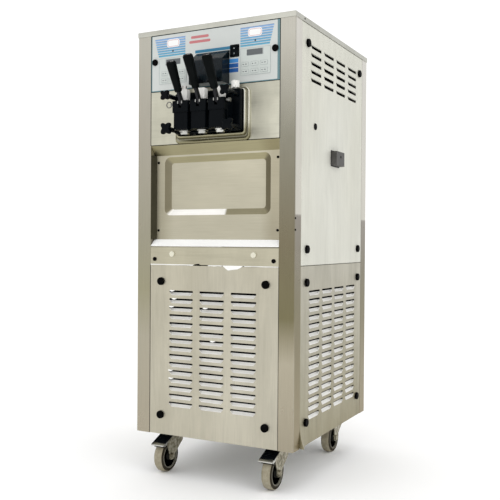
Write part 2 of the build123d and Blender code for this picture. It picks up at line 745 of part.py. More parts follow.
def brake_pedal(x, y):
    """A sloping foot plate over the wheel, with a barrel on its pin and a shoe in front of it."""
    plate = [(-31.5, -9), (-80, -29), (-90, -34), (-90, -37), (-79, -32), (-31.5, -12)]
    pedal = prism(plate, -PEDAL_HALF, PEDAL_HALF)
    inside = CHEEK_IN - 0.5
    web = [(-60, -23), (-79, -31), (-79, -43.5), (-70.5, -36), (-66, -31), (-62, -29.5)]
    pedal += prism(web, -inside, inside)
    pedal += rod(PEDAL_PIN_R + 1.2, (-inside, *PEDAL_PIVOT), 2 * inside, "X")
    pedal -= rod(PEDAL_PIN_R + RUN, (-30, *PEDAL_PIVOT), 60, "X")
    return Pos(x, y, 0) * pedal


# ------------------------------------------------------------- write all


def write_cabinet():
    posts = both_sides(corner_post(True)) + both_sides(corner_post(False))
    save("corner_posts", *posts)
    save("base_pan", base_pan())
    save("mid_shelf", mid_shelf())
    save("roof_cover", roof_cover())
    save("hopper_lid", hopper_lid())
    save("front_louvre_panel", front_louvre_panel())
    save("rear_panels", *rear_panels())
    save("side_panels_upper", *side_panels_upper())
    save("side_panels_lower", *side_panels_lower())
    save("splash_panel", splash_panel())
    save("drip_bar", drip_bar())
    save("shelf_buttons", *shelf_buttons())
    save("faceplate", faceplate())
    save("door_frame", door_frame())
    save("control_panel", control_panel())
    save("keypads", *keypads())
    save("display_windows", *display_windows())
    save("rocker_switch", rocker_switch())
    save("handle_guard", handle_guard())
    save("panel_fasteners", *panel_fasteners())
    save("leak_drawer", leak_drawer())


def write_head():
    save("dispensing_head", dispensing_head())
    save("pivot_pin", pivot_pin())
    save("draw_nozzles", *draw_nozzles())
    save("door_gaskets", *door_gaskets())
    for name, x, grip_ends in zip(("left", "centre", "right"), VALVE_X, GRIPS):
        save(f"valve_piston_{name}", valve_piston(x))
        save(f"draw_handle_{name}", *draw_handle(x, grip_ends))
    for name, sign in SIDES:
        save(f"prime_plug_{name}", prime_plug(sign * 90))
        for level, (x, *rest) in (("upper", SCREW_UPPER), ("lower", SCREW_LOWER)):
            save(f"hand_screw_{level}_{name}", hand_screw(sign * x, *rest))


def write_inside():
    save("freezing_cylinders", *freezing_cylinders())
    for name, sign in SIDES:
        save(f"beater_{name}", beater(sign * BARREL_X))
    save("gear_motors", *gear_motors())
    save("hoppers", *hoppers())
    save("compressor", *compressor())
    save("condenser", *condenser())
    save("fan_motor", fan_motor())
    save("condenser_fan", condenser_fan())
    save("refrigerant_pipes", *refrigerant_pipes())
    save("electrical_box", electrical_box())
    save("cord_gland", cord_gland())


def write_castors():
    save("caster_plates", *caster_plates())
    for end, y in zip(("front", "rear"), CASTER_Y):
        for name, sign in SIDES:
            x = sign * CASTER_X
            save(f"caster_fork_{end}_{name}", caster_fork(x, y, end == "front"))
            save(f"caster_wheel_{end}_{name}", caster_wheel(x, y))
    for name, sign in SIDES:
        save(f"brake_pedal_{name}", brake_pedal(sign * CASTER_X, CASTER_Y[0]))


os.makedirs("parts", exist_ok=True)
write_cabinet()
write_head()
write_inside()
write_castors()
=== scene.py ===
"""Looks of a floor-standing soft ice cream machine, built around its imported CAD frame."""
from math import cos, pi, radians, sin

import bmesh
import bpy
from mathutils import Matrix, Vector


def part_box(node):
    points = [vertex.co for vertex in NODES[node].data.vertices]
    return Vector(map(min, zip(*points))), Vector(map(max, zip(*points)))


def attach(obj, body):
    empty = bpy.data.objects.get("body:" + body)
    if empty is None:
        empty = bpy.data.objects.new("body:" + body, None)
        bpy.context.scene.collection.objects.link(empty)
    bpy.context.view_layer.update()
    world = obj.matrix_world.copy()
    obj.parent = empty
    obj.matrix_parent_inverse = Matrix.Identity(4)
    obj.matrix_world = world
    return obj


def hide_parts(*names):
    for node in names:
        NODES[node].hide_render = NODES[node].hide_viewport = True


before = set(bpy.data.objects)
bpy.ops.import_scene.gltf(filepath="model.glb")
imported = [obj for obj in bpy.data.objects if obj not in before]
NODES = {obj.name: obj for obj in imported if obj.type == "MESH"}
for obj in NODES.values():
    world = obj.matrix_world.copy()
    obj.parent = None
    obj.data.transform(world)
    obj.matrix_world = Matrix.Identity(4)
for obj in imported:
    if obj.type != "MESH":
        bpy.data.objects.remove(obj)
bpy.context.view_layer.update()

# The cabinet's own frame: X from the mid-plane, Y back from the front face, Z up from its underside
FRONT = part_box("corner_posts")[0].y
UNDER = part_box("corner_posts")[0].z
MM = 0.001
HALF_W, DEPTH, TALL = 270, 620, 1255
POST, SEAM, FOLD_RADIUS = 48, 0.6, 1.4
SIDES = (("left", -1), ("right", 1))
# A vent's width and height and the pitch of its rows; the gap over a louvre's flap, and the flap's taper
SLOT_W, SLOT_H, SLOT_PITCH = 84, 15, 24.6
FLAP_GAP, FLAP_TAPER = 6.2, 8
FRONT_VENT_TOP = 449
DRAWER_Y, DRAWER_Z, DRAWER_GAP = (281, 350), (844, 888), 0.8
ALCOVE_DEEP, ALCOVE_Z = 22, (606, 868)
STRIPES_TOP, STRIPES_FOOT, STRIPES = 1226, 1168, 8
LABEL_X = 141
KEY_X, KEY_Z = (109.5, 140.5, 171), (1118.5, 1097.5)
ROCKER_X, ROCKER_Z = 74, 1162
NOZZLE_TOP, NOZZLE_FOOT = 928, 915.2
CASTOR_X, CASTOR_Y = 187, {"front": 80, "rear": 540}
# How noise is stretched to make brush lines
GRAIN_UP, GRAIN_ACROSS = (1, 1, 0.012), (0.012, 1, 1)


def at(x, y, z):
    """A point of the cabinet's frame, in millimetres, as metres in the machine's frame."""
    return Vector((x * MM, FRONT + y * MM, UNDER + z * MM))


# ---- node helpers


class Shader:
    """A Principled material with short calls for the nodes that feed it."""

    def __init__(self, name, colour, rough=0.5, metal=0.0, **sockets):
        self.mat = bpy.data.materials.new(name)
        self.mat.use_nodes = True
        self.tree = self.mat.node_tree
        self.bsdf = self.tree.nodes["Principled BSDF"]
        self.colour = (*colour, 1.0)
        self.bsdf.inputs["Base Color"].default_value = self.colour
        self.bsdf.inputs["Roughness"].default_value = rough
        self.bsdf.inputs["Metallic"].default_value = metal
        for socket, value in sockets.items():
            self.bsdf.inputs[socket.replace("_", " ")].default_value = value

    def node(self, kind, **inputs):
        made = self.tree.nodes.new(kind)
        for socket, value in inputs.items():
            made.inputs[socket.replace("_", " ")].default_value = value
        return made

    def link(self, source, target):
        self.tree.links.new(source, target)

    def noise(self, scale, stretch=(1, 1, 1), detail=3.0, rough=0.55):
        coords = self.tree.nodes.new("ShaderNodeTexCoord")
        mapping = self.node("ShaderNodeMapping", Scale=stretch)
        self.link(coords.outputs["Object"], mapping.inputs["Vector"])
        made = self.node("ShaderNodeTexNoise", Scale=scale, Detail=detail, Roughness=rough)
        self.link(mapping.outputs["Vector"], made.inputs["Vector"])
        return made.outputs["Fac"]

    def ramp(self, fac, stops):
        made = self.tree.nodes.new("ShaderNodeValToRGB")
        ramp = made.color_ramp
        while len(ramp.elements) < len(stops):
            ramp.elements.new(0.5)
        for element, (place, value) in zip(ramp.elements, stops):
            element.position = place
            grey = value if isinstance(value, tuple) else (value, value, value)
            element.color = (*grey, 1.0)
        self.link(fac, made.inputs["Fac"])
        return made.outputs["Color"]

    def mix(self, kind, fac, a, b):
        made = self.tree.nodes.new("ShaderNodeMix")
        made.data_type = "RGBA"
        made.blend_type = kind
        for socket, value in ((0, fac), (6, a), (7, b)):
            if isinstance(value, bpy.types.NodeSocket):
                self.link(value, made.inputs[socket])
            else:
                made.inputs[socket].default_value = value
        return made.outputs[2]

    def tint(self, *layers):
        """Multiplies the base colour by each layer and feeds the shader."""
        colour = self.colour
        for layer in layers:
            colour = self.mix("MULTIPLY", 1.0, colour, layer)
        self.link(colour, self.bsdf.inputs["Base Color"])

    def roughen(self, fac, stops):
        self.link(self.ramp(fac, stops), self.bsdf.inputs["Roughness"])

    def along(self, axis, start, end, kind="Object"):
        """0 to 1 between two places on an axis, in metres, or between two values of the normal."""
        coords = self.tree.nodes.new("ShaderNodeTexCoord")
        split = self.tree.nodes.new("ShaderNodeSeparateXYZ")
        self.link(coords.outputs[kind], split.inputs[0])
        span = self.node("ShaderNodeMapRange", From_Min=start, From_Max=end)
        self.link(split.outputs[axis], span.inputs["Value"])
        return span.outputs["Result"]

    def fade(self, axis, start, end, colour, begin=1.0):
        """A tint that turns from one colour to another between two places along an axis, in metres."""
        return self.ramp(self.along(axis, start, end), [(0.0, begin), (1.0, colour)])

    def heights(self, stops):
        """Tones at heights over the cabinet's underside, in millimetres."""
        up = self.along("Z", at(0, 0, 0).z, at(0, 0, TALL).z)
        return self.ramp(up, [(height / TALL, tone) for height, tone in stops])

    def bump(self, height, strength, distance):
        made = self.node("ShaderNodeBump", Strength=strength, Distance=distance)
        self.link(height, made.inputs["Height"])
        self.link(made.outputs["Normal"], self.bsdf.inputs["Normal"])


def brushed(name, colour, rough=0.34, grain=GRAIN_UP, smudge=0.5, tones=None, metal=1.0):
    """Stainless sheet: fine brush lines along one axis, rub marks, slow tones and tints by height."""
    s = Shader(name, colour, rough, metal, Anisotropic=0.45 if metal == 1.0 else 0.0)
    lines = s.noise(900, grain, 2.0)
    broad = s.noise(2.2, (1, 1, 0.55), 2.0)
    marks = s.noise(9, (1, 1, 0.4), 5.0, 0.65)
    scratch = s.noise(55, (1, 1, 0.06) if grain[2] < 1 else (0.06, 1, 1), 3.0, 0.6)
    tone = s.ramp(lines, [(0.3, 0.88), (0.7, 1.0)])
    slow = s.ramp(broad, [(0.3, (0.93, 0.92, 0.88)), (0.7, (1.0, 1.0, 1.0))])
    rubbed = s.ramp(marks, [(0.42, 1.0 - 0.16 * smudge), (0.6, 1.0)])
    fine = s.ramp(scratch, [(0.36, 1.0 - 0.12 * smudge), (0.5, 1.0)])
    s.tint(tone, slow, rubbed, fine, *([s.heights(tones)] if tones else []))
    s.roughen(marks, [(0.35, rough + 0.14 * smudge), (0.65, rough - 0.04)])
    s.bump(lines, 0.12, 0.0004)
    return s.mat


def post_steel_painted_reflections():
    """The corner posts: tones by height that are painted reflections and shade, one down the left front,
    one down the right front, one down the sides.
    """
    s = Shader("post_steel_painted_reflections", (1.0, 1.0, 1.0), 0.30, 1.0, Anisotropic=0.45)
    # Painted reflections and shade: the right front dark from 380 to 900 mm, the sides dark below 676 mm
    # and light above 680 mm.
    left = s.heights([(0, (0.39, 0.35, 0.27)), (300, (0.40, 0.37, 0.29)), (450, (0.33, 0.31, 0.21)),
                      (620, (0.33, 0.31, 0.235)), (950, (0.37, 0.345, 0.29)), (1200, (0.42, 0.405, 0.35))])
    right = s.heights([(0, (0.37, 0.33, 0.25)), (250, (0.42, 0.38, 0.29)), (380, (0.19, 0.17, 0.095)),
                       (600, (0.195, 0.17, 0.11)), (900, (0.22, 0.21, 0.165)), (1200, (0.415, 0.40, 0.35))])
    side = s.heights([(0, (0.30, 0.25, 0.155)), (400, (0.205, 0.18, 0.105)), (676, (0.25, 0.225, 0.19)),
                      (680, (0.57, 0.55, 0.48)), (1200, (0.60, 0.58, 0.53))])
    front = s.mix("MIX", s.fade("X", 0.05, 0.15, 1.0, 0.0), left, right)
    corner, behind = at(0, 2, 0).y, at(0, 9, 0).y
    tone = s.mix("MIX", s.fade("Y", corner, behind, 1.0, 0.0), front, side)
    lines = s.ramp(s.noise(900, GRAIN_UP, 2.0), [(0.3, 0.9), (0.7, 1.0)])
    s.tint(tone, lines)
    marks = s.noise(9, (1, 1, 0.4), 5.0, 0.65)
    s.roughen(marks, [(0.35, 0.36), (0.65, 0.26)])
    return s.mat


def splash_steel_painted_light():
    """The alcove's back: bright brushed sheet whose tray walls carry painted light and shade by the way
    they face: a painted highlight on the left of the upward walls, painted shade on the rest; darker
    towards both sides.
    """
    s = Shader("splash_steel_painted_light", (0.475, 0.445, 0.345), 0.30, 1.0, Anisotropic=0.4)
    # Painted highlight (white, beyond full brightness) on the upward walls left of x 0.03 m; painted shade
    # to the right of it and on the other walls.
    white, shade = (2.1, 2.2, 2.7, 1.0), (0.62, 0.60, 0.50, 1.0)
    lit = s.mix("MIX", s.fade("X", 0.028, 0.036, 1.0, 0.0), white, shade)
    walls = (("Z", 1, lit), ("Z", -1, (0.76, 0.74, 0.58, 1.0)), ("X", 1, (0.50, 0.48, 0.42, 1.0)),
             ("X", -1, (0.36, 0.34, 0.28, 1.0)))
    tone = (1.0, 1.0, 1.0, 1.0)
    for axis, sign, wall in walls:
        tone = s.mix("MIX", s.along(axis, sign * 0.12, sign * 0.3, "Normal"), tone, wall)
    lines = s.ramp(s.noise(900, GRAIN_ACROSS, 2.0), [(0.3, 0.9), (0.7, 1.0)])
    marks = s.noise(5, (0.5, 1, 1), 4.0, 0.6)
    rubbed = s.ramp(marks, [(0.38, (0.90, 0.90, 0.90)), (0.6, (1.0, 1.0, 1.0))])
    edges = s.mix("MULTIPLY", 1.0, s.fade("X", -0.19, -0.15, 1.0, (0.86, 0.85, 0.82)),
                  s.fade("X", 0.15, 0.19, (0.82, 0.80, 0.76)))
    s.tint(tone, lines, rubbed, edges)
    s.roughen(marks, [(0.35, 0.38), (0.65, 0.27)])
    return s.mat


def moulded(name, colour, rough=0.4, grain=700, depth=0.0003, dust=0.25, specular=0.5):
    """Plastic with a fine moulded grain and a little dust in broad patches."""
    s = Shader(name, colour, rough, Specular_IOR_Level=specular)
    fine = s.noise(grain, detail=2.0)
    broad = s.noise(18, detail=4.0)
    dusty = tuple(min(1.0, c + 0.05) for c in colour)
    patch = s.ramp(broad, [(0.45, 0.0), (0.8, dust)])
    s.link(s.mix("MIX", patch, s.colour, (*dusty, 1.0)), s.bsdf.inputs["Base Color"])
    s.roughen(broad, [(0.3, rough - 0.06), (0.7, rough + 0.14)])
    s.bump(fine, 0.2, depth)
    return s.mat


def glossy(name, colour, rough=0.25, coat=0.3, variation=0.06, metal=0.0):
    """Smooth painted, printed or polished surface with a faint change of tone."""
    s = Shader(name, colour, rough, metal, Coat_Weight=coat)
    broad = s.noise(14, detail=3.0)
    s.tint(s.ramp(broad, [(0.3, 1.0 - variation), (0.7, 1.0)]))
    s.roughen(broad, [(0.3, rough), (0.7, rough + 0.1)])
    return s.mat


def printed(name, high, low):
    """Printed stripes whose ink turns from one colour at the top stripe to another at the last."""
    s = Shader(name, high, 0.32)
    top, foot = at(0, 0, STRIPES_TOP).z, at(0, 0, STRIPES_FOOT).z
    ink = s.fade("Z", top, foot, tuple(b / a for a, b in zip(high, low)))
    s.tint(ink, s.ramp(s.noise(160, (0.2, 1, 1)), [(0.3, 0.9), (0.6, 1.0)]))
    return s.mat


def zinc(name, colour, dark):
    """Zinc plating with a spangle of lighter and darker patches."""
    s = Shader(name, colour, 0.42, 0.85)
    spangle = s.ramp(s.noise(75, detail=6.0, rough=0.75), [(0.40, dark), (0.60, (1.0, 1.0, 1.0))])
    s.tint(spangle)
    s.bump(s.noise(140, detail=4.0), 0.3, 0.0008)
    return s.mat


def tread():
    """Worn castor tread: dusty, with scuffs."""
    s = Shader("worn_tread", (0.34, 0.31, 0.23), 0.8)
    scuff = s.noise(60, (1, 1, 1), 6.0, 0.7)
    s.tint(s.ramp(scuff, [(0.35, (0.66, 0.63, 0.56)), (0.65, (1.0, 1.0, 1.0))]))
    s.bump(scuff, 0.35, 0.0008)
    return s.mat


def smoked():
    """Dark see-through plastic with a faint change of gloss."""
    s = Shader("smoked_cover", (0.004, 0.008, 0.011), 0.15, 0.0, Alpha=0.9, Specular_IOR_Level=0.15)
    fine = s.noise(30, detail=3.0)
    s.roughen(fine, [(0.35, 0.1), (0.7, 0.26)])
    s.mat.surface_render_method = "BLENDED"
    return s.mat


SIDE_TONES = ((0, (0.68, 0.64, 0.50)), (300, (0.92, 0.91, 0.86)), (500, 1.0))
# Painted shade on the door collar: darker olive along its foot, where it faces downward.
RING_SHADE_TONES = ((905, (0.36, 0.34, 0.24)), (925, (0.50, 0.48, 0.38)), (955, 1.0), (1060, 1.0))
MAT = {
    "post": post_steel_painted_reflections(),
    "louvre": brushed("louvre_steel", (0.555, 0.525, 0.43), 0.38, smudge=0.5),
    "side": brushed("side_steel", (0.68, 0.68, 0.615), 0.55, smudge=0.3, metal=0.35),
    "side_low": brushed("side_low_steel", (0.50, 0.48, 0.405), 0.45, smudge=0.6, tones=SIDE_TONES,
                        metal=0.85),
    "roof": brushed("roof_steel", (0.50, 0.50, 0.455), 0.30, GRAIN_ACROSS),
    "splash": splash_steel_painted_light(),
    # Near-white and not metal: a painted reflection of the light above on the ledge's steel slope.
    "ledge": glossy("ledge_painted_reflection", (0.99, 0.99, 0.98), 0.35, 0.3, 0.04),
    # Near-white flaps: a painted reflection of the light from above on the louvres' steel.
    "flap": glossy("louvre_flap_painted_reflection", (0.88, 0.87, 0.83), 0.4, 0.1, 0.12, 0.2),
    "button": moulded("shelf_button", (0.66, 0.64, 0.52), 0.45, dust=0.5),
    # Near-black steel for the alcove's jambs: painted shade on the posts' inner sides and the gaps beside
    # the splash sheet.
    "jamb": brushed("jamb_painted_shade", (0.085, 0.08, 0.055), 0.4),
    "bar": brushed("bar_steel", (0.53, 0.50, 0.39), 0.32, GRAIN_ACROSS),
    "face": brushed("face_steel", (0.57, 0.56, 0.475), 0.38, GRAIN_ACROSS),
    "ring": brushed("polished_lip", (0.74, 0.73, 0.65), 0.22, smudge=0.2, tones=RING_SHADE_TONES),
    # A darker copy of the lip's steel for its channel and inner foot: painted shade.
    "ring_shade": brushed("lip_channel_painted_shade", (0.28, 0.27, 0.21), 0.3, smudge=0.2),
    "inner": brushed("inner_steel", (0.45, 0.45, 0.42), 0.4),
    # Near-black: painted shade inside sheets, vents and outlets; also the dark joints and the seam's tear.
    "inside": moulded("shaded_inside", (0.006, 0.006, 0.006), 0.9, specular=0.0),
    "print": glossy("overlay_print", (0.55, 0.575, 0.555), 0.3, 0.1),
    "trim": glossy("overlay_edge", (0.10, 0.20, 0.22), 0.3, 0.2),
    "key": glossy("key_film", (0.54, 0.58, 0.55), 0.32, 0.1),
    "key_line": glossy("key_outline", (0.36, 0.40, 0.40), 0.4, 0.0),
    "dot": glossy("print_dot", (0.01, 0.02, 0.03), 0.3, 0.1),
    "stripe": printed("print_stripe", (0.24, 0.40, 0.66), (0.08, 0.36, 0.52)),
    "stripe_edge": printed("print_stripe_edge", (0.10, 0.18, 0.40), (0.02, 0.17, 0.30)),
    "blue": glossy("print_blue", (0.004, 0.09, 0.34), 0.5, 0.0),
    "cyan": glossy("print_cyan", (0.01, 0.16, 0.29), 0.5, 0.0),
    "sky": glossy("print_sky", (0.04, 0.24, 0.58), 0.5, 0.0),
    "lcd": glossy("display_window", (0.095, 0.105, 0.11), 0.4, 0.0),
    "label": glossy("blank_label", (0.86, 0.86, 0.85), 0.4, 0.1),
    "red": glossy("print_red", (0.50, 0.16, 0.17), 0.4, 0.0),
    "smoked": smoked(),
    "black": moulded("black_moulding", (0.002, 0.003, 0.004), 0.4, dust=0.1, specular=0.05),
    "gloss_black": moulded("polished_black", (0.001, 0.002, 0.003), 0.25, dust=0.03, specular=0.05),
    "grip": moulded("grip_black", (0.001, 0.002, 0.002), 0.45, 400, 0.0005, 0.08, 0.05),
    "oxide": glossy("blackened_steel", (0.03, 0.03, 0.032), 0.35, 0.0, 0.3, 1.0),
    "plug": moulded("plug_black", (0.001, 0.001, 0.001), 0.55, dust=0.05, specular=0.03),
    "white": glossy("acetal_white", (0.90, 0.89, 0.85), 0.4, 0.1, 0.04),
    "bright": glossy("polished_steel", (0.62, 0.62, 0.58), 0.18, 0.0, 0.35, 1.0),
    "pin": glossy("pin_steel", (0.20, 0.20, 0.19), 0.25, 0.0, 0.35, 1.0),
    "clip": glossy("clip_steel", (0.42, 0.42, 0.40), 0.3, 0.0, 0.4, 0.9),
    "tread": tread(),
    "tyre_side": moulded("tyre_side", (0.030, 0.024, 0.014), 0.75, 300, 0.0008, 0.5, 0.1),
    "tyre_ring": moulded("tyre_ring", (0.20, 0.19, 0.15), 0.55),
    "hub": moulded("hub_dark", (0.006, 0.006, 0.004), 0.45, dust=0.35, specular=0.1),
    "zinc": zinc("zinc_plate", (0.50, 0.47, 0.37), (0.30, 0.28, 0.22)),
    "rubber": moulded("seal_rubber", (0.35, 0.34, 0.31), 0.7),
    "drawer": moulded("drawer_black", (0.004, 0.004, 0.004), 0.5, specular=0.2),
    "drawer_face": moulded("drawer_face_grey", (0.05, 0.048, 0.043), 0.55, dust=0.8),
    "motor": glossy("black_enamel", (0.02, 0.02, 0.022), 0.3, 0.4),
    "fins": brushed("fin_aluminium", (0.28, 0.28, 0.28), 0.5, (1, 1, 0.01)),
    "copper": glossy("drawn_copper", (0.72, 0.32, 0.18), 0.25, 0.0, 0.25, 1.0),
    "box": glossy("grey_coat", (0.35, 0.36, 0.36), 0.5, 0.0),
    "film": glossy("white_film", (0.90, 0.90, 0.87), 0.45, 0.0, 0.08),
}


# ---- mesh helpers


def linked(name, data):
    """A new object in the scene."""
    made = bpy.data.objects.new(name, data)
    bpy.context.scene.collection.objects.link(made)
    return made


def add_piece(name, bm, materials, body="cabinet", replaces=(), smooth=True):
    """Turns a bmesh into a piece that rides on a body."""
    bmesh.ops.recalc_face_normals(bm, faces=bm.faces)
    mesh = bpy.data.meshes.new(name)
    bm.to_mesh(mesh)
    bm.free()
    piece = linked(name, mesh)
    for key in materials:
        mesh.materials.append(MAT[key])
    if smooth:
        mesh.shade_smooth()
        mesh.set_sharp_from_angle(angle=radians(35))
    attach(piece, body)
    if replaces:
        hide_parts(*replaces)
    return piece


def bevelled(piece, width):
    """Rounds a piece's sharp edges, with shading that keeps its flats flat."""
    bevel = piece.modifiers.new("edge", "BEVEL")
    bevel.width = width * MM
    bevel.segments = 3
    bevel.limit_method = "ANGLE"
    bevel.angle_limit = radians(40)
    bevel.harden_normals = True
    return piece


def ring_loft(bm, rings, closed_ends=True, material=0):
    """Skins a list of equal rings of points."""
    made = [[bm.verts.new(point) for point in ring] for ring in rings]
    for low, high in zip(made, made[1:]):
        for i in range(len(low)):
            j = (i + 1) % len(low)
            bm.faces.new((low[i], low[j], high[j], high[i])).material_index = material
    if closed_ends:
        bm.faces.new(made[0][::-1]).material_index = material
        bm.faces.new(made[-1]).material_index = material
    return made


def lofted(name, rings, materials, body="cabinet", replaces=(), closed_ends=True):
    """A piece skinned over one list of rings."""
    bm = bmesh.new()
    ring_loft(bm, rings, closed_ends)
    return add_piece(name, bm, materials, body, replaces)


def rounded_ring(width, height, radius, steps=6):
    """Points of a rounded rectangle round the origin, in a plane."""
    points = []
    corners = ((1, 1, 0), (-1, 1, 90), (-1, -1, 180), (1, -1, 270))
    for sx, sy, start in corners:
        for step in range(steps + 1):
            angle = radians(start + 90 * step / steps)
            x = sx * (width / 2 - radius) + radius * cos(angle)
            y = sy * (height / 2 - radius) + radius * sin(angle)
            points.append((x, y))
    return points


def polar(count, reach):
    """Points round a centre, as far out as reach says at each angle."""
    angles = [2 * pi * i / count for i in range(count)]
    return [(reach(angle) * cos(angle), reach(angle) * sin(angle)) for angle in angles]


def circle(radius, count):
    return polar(count, lambda angle: radius)


def lobed(radius, count):
    """Outline of a four-lobed knob of a given size."""
    return polar(count, lambda angle: radius * (0.80 + 0.20 * cos(4 * (angle - pi / 4))))


def star(radius, count):
    """An outline with six shallow points, or a plain circle from a radius of 10 up."""
    if radius >= 10:
        return circle(radius, count)
    return polar(count, lambda angle: radius * (1 - 0.16 * abs(sin(3 * angle))))


def turned(bm, profile, centre, axis, count=48, material=0, outline=circle):
    """A lathe shape: profile is (distance along the axis, radius); centre in cabinet millimetres."""
    x, y, z = centre
    rings = []
    for along, radius in profile:
        ring = []
        for a, b in outline(max(radius, 0.01), count):
            offset = {"X": (along, a, b), "Y": (a, along, b), "Z": (a, b, along)}[axis]
            ring.append(at(x + offset[0], y + offset[1], z + offset[2]))
        rings.append(ring)
    return ring_loft(bm, rings, True, material)


def level_ring(x, y, z, outline):
    """An outline stood upright, facing the front, round a point."""
    return [at(x + a, y, z + b) for a, b in outline]


def around(middle, half):
    """The two ends of a span."""
    return middle - half, middle + half


def tile(bm, x, z, y, lift=0.25, radius=0.0, material=0, slant=(0, 0)):
    """A thin printed patch that stands a hair proud of a front surface at depth y.

    slant moves the lower edge's left and right ends across."""
    width, height = x[1] - x[0], z[1] - z[0]
    cx, cz = (x[0] + x[1]) / 2, (z[0] + z[1]) / 2
    outline = rounded_ring(width, height, max(radius, 0.05), 4 if radius else 1)
    rings = []
    for depth in (0.0, lift):
        ring = []
        for a, b in outline:
            drop = 0.5 - b / height
            shift = slant[0] * drop if a < 0 else slant[1] * drop
            ring.append(at(cx + a + shift, y - depth, cz + b))
        rings.append(ring)
    ring_loft(bm, rings, True, material)


def block_piece(name, x, y, z, material, body="cabinet"):
    """A small bevelled block between two corners."""
    low = [at(a, b, z[0]) for a, b in ((x[0], y[0]), (x[1], y[0]), (x[1], y[1]), (x[0], y[1]))]
    high = [point + Vector((0, 0, (z[1] - z[0]) * MM)) for point in low]
    bevelled(lofted(name, [low, high], [material], body), 0.6)


# ---- sheet panels


def rear_place(across, inward, up):
    """A panel's point on the rear; a front panel's place is at() itself."""
    return at(across, DEPTH - inward, up)


def side_place(sign):
    """Maps a panel's (across, inward, up) to a side, where across is the depth from the front."""
    return lambda u, d, v: at(sign * (HALF_W - d), u, v)


def spans_of(low, high, cuts):
    """The spans between two limits, divided at each cut's ends."""
    lines = sorted({low, high, *[c for pair in cuts for c in pair]})
    return [(a, b) for a, b in zip(lines, lines[1:]) if b - a > 1e-6]


def louvre_cells(columns, top, rows, height=SLOT_H):
    """The openings of a louvred panel, each as its spans across and up."""
    half = SLOT_W / 2
    tops = [top - row * SLOT_PITCH for row in range(rows)]
    return [((c - half, c + half), (z - height, z)) for c in columns for z in tops]


def grid_sheet(bm, u, v, holes, place, extra=((), ())):
    """A flat sheet between u and v limits, left open at the holes; returns its vertex maker."""
    found = {}

    def vert(a, b):
        key = (round(a, 3), round(b, 3))
        if key not in found:
            found[key] = bm.verts.new(place(a, 0, b))
        return found[key]

    columns = spans_of(*u, [hole[0] for hole in holes] + [(line, line) for line in extra[0]])
    rows = spans_of(*v, [hole[1] for hole in holes] + [(line, line) for line in extra[1]])
    for a0, a1 in columns:
        for b0, b1 in rows:
            a, b = (a0 + a1) / 2, (b0 + b1) / 2
            if any(hu[0] < a < hu[1] and hv[0] < b < hv[1] for hu, hv in holes):
                continue
            bm.faces.new((vert(a0, b0), vert(a1, b0), vert(a1, b1), vert(a0, b1)))
    return vert


def pressed_louvre(bm, vert, cell, place):
    """An inward pocket, open along its top and narrower at its foot: a curved flap with sloping ends."""
    (a0, a1), (b0, b1) = cell
    lip = b1 - FLAP_GAP
    shoulders = (vert(a0, lip), vert(a1, lip))
    rows = [(vert(a0 + FLAP_TAPER, b0), vert(a1 - FLAP_TAPER, b0))]
    bm.faces.new((vert(a0, b0), rows[0][0], shoulders[0]))
    bm.faces.new((rows[0][1], vert(a1, b0), shoulders[1]))
    for share in (0.2, 0.45, 0.75, 1.0):
        inset = FLAP_TAPER * (1 - share)
        rise = b0 + (lip - b0) * share
        sink = 7.5 * sin(share * pi / 2)
        rows.append([bm.verts.new(place(a, sink, rise)) for a in (a0 + inset, a1 - inset)])
    # The flap's faces take material 2, the near-white flap colour: a painted reflection.
    for (p, q), (r, s) in zip(rows, rows[1:]):
        bm.faces.new((p, q, s, r)).material_index = 2
    for end in (0, 1):
        for lower, upper in zip(rows, rows[1:]):
            bm.faces.new((shoulders[end], lower[end], upper[end])).material_index = 2


def punched_vent(bm, vert, cell, place):
    """A plain slot with one slanting end, one eased end and a lip turned in along its top."""
    slant, round_off, lip = 9, 3, 3
    (a0, a1), (b0, b1) = cell
    foot = bm.verts.new(place(a0 + slant, 0, b0))
    bm.faces.new((vert(a0, b0), foot, vert(a0, b1)))
    near = bm.verts.new(place(a1 - round_off, 0, b0))
    side = bm.verts.new(place(a1, 0, b0 + round_off))
    bm.faces.new((near, vert(a1, b0), side))
    inner = [bm.verts.new(place(a, lip, b1 - 1)) for a in (a1, a0)]
    bm.faces.new((vert(a0, b1), vert(a1, b1), *inner))


def folded_border(bm, u, v, place):
    """Rolls the sheet's outer edge inwards and folds a 12 mm return behind it."""
    low = place(u[0], 0, v[0])
    inward = place(u[0], 1, v[0]) - low
    across = place(u[0] + 1, 0, v[0]) - low
    up = Vector((0, 0, MM))

    def outward(co):
        """Which borders a point lies on: -1, 0 or 1 across and up."""
        a = across.dot(co - low) / across.length_squared
        b = (co.z - low.z) / MM
        side = -1 if a < 0.01 else (1 if a > u[1] - u[0] - 0.01 else 0)
        level = -1 if b < 0.01 else (1 if b > v[1] - v[0] - 0.01 else 0)
        return side, level

    def on_border(edge):
        middle = (edge.verts[0].co + edge.verts[1].co) / 2
        return edge.is_boundary and outward(middle) != (0, 0)

    edges = [edge for edge in bm.edges if on_border(edge)]
    signs = {point: outward(point.co) for edge in edges for point in edge.verts}
    near, far = 0.3 * FOLD_RADIUS, 0.7 * FOLD_RADIUS
    for grow, sink in ((far, near), (near, far), (0, 12)):
        fresh = bmesh.ops.extrude_edge_only(bm, edges=edges)["geom"]
        moved = {}
        for point in fresh:
            if isinstance(point, bmesh.types.BMVert):
                source = next(o for o in (e.other_vert(point) for e in point.link_edges) if o in signs)
                side, level = signs[source]
                point.co += across * (side * grow) + up * (level * grow) + inward * sink
                moved[point] = (side, level)
        made = [item for item in fresh if isinstance(item, bmesh.types.BMEdge)]
        edges = [edge for edge in made if all(point in moved for point in edge.verts)]
        signs = moved


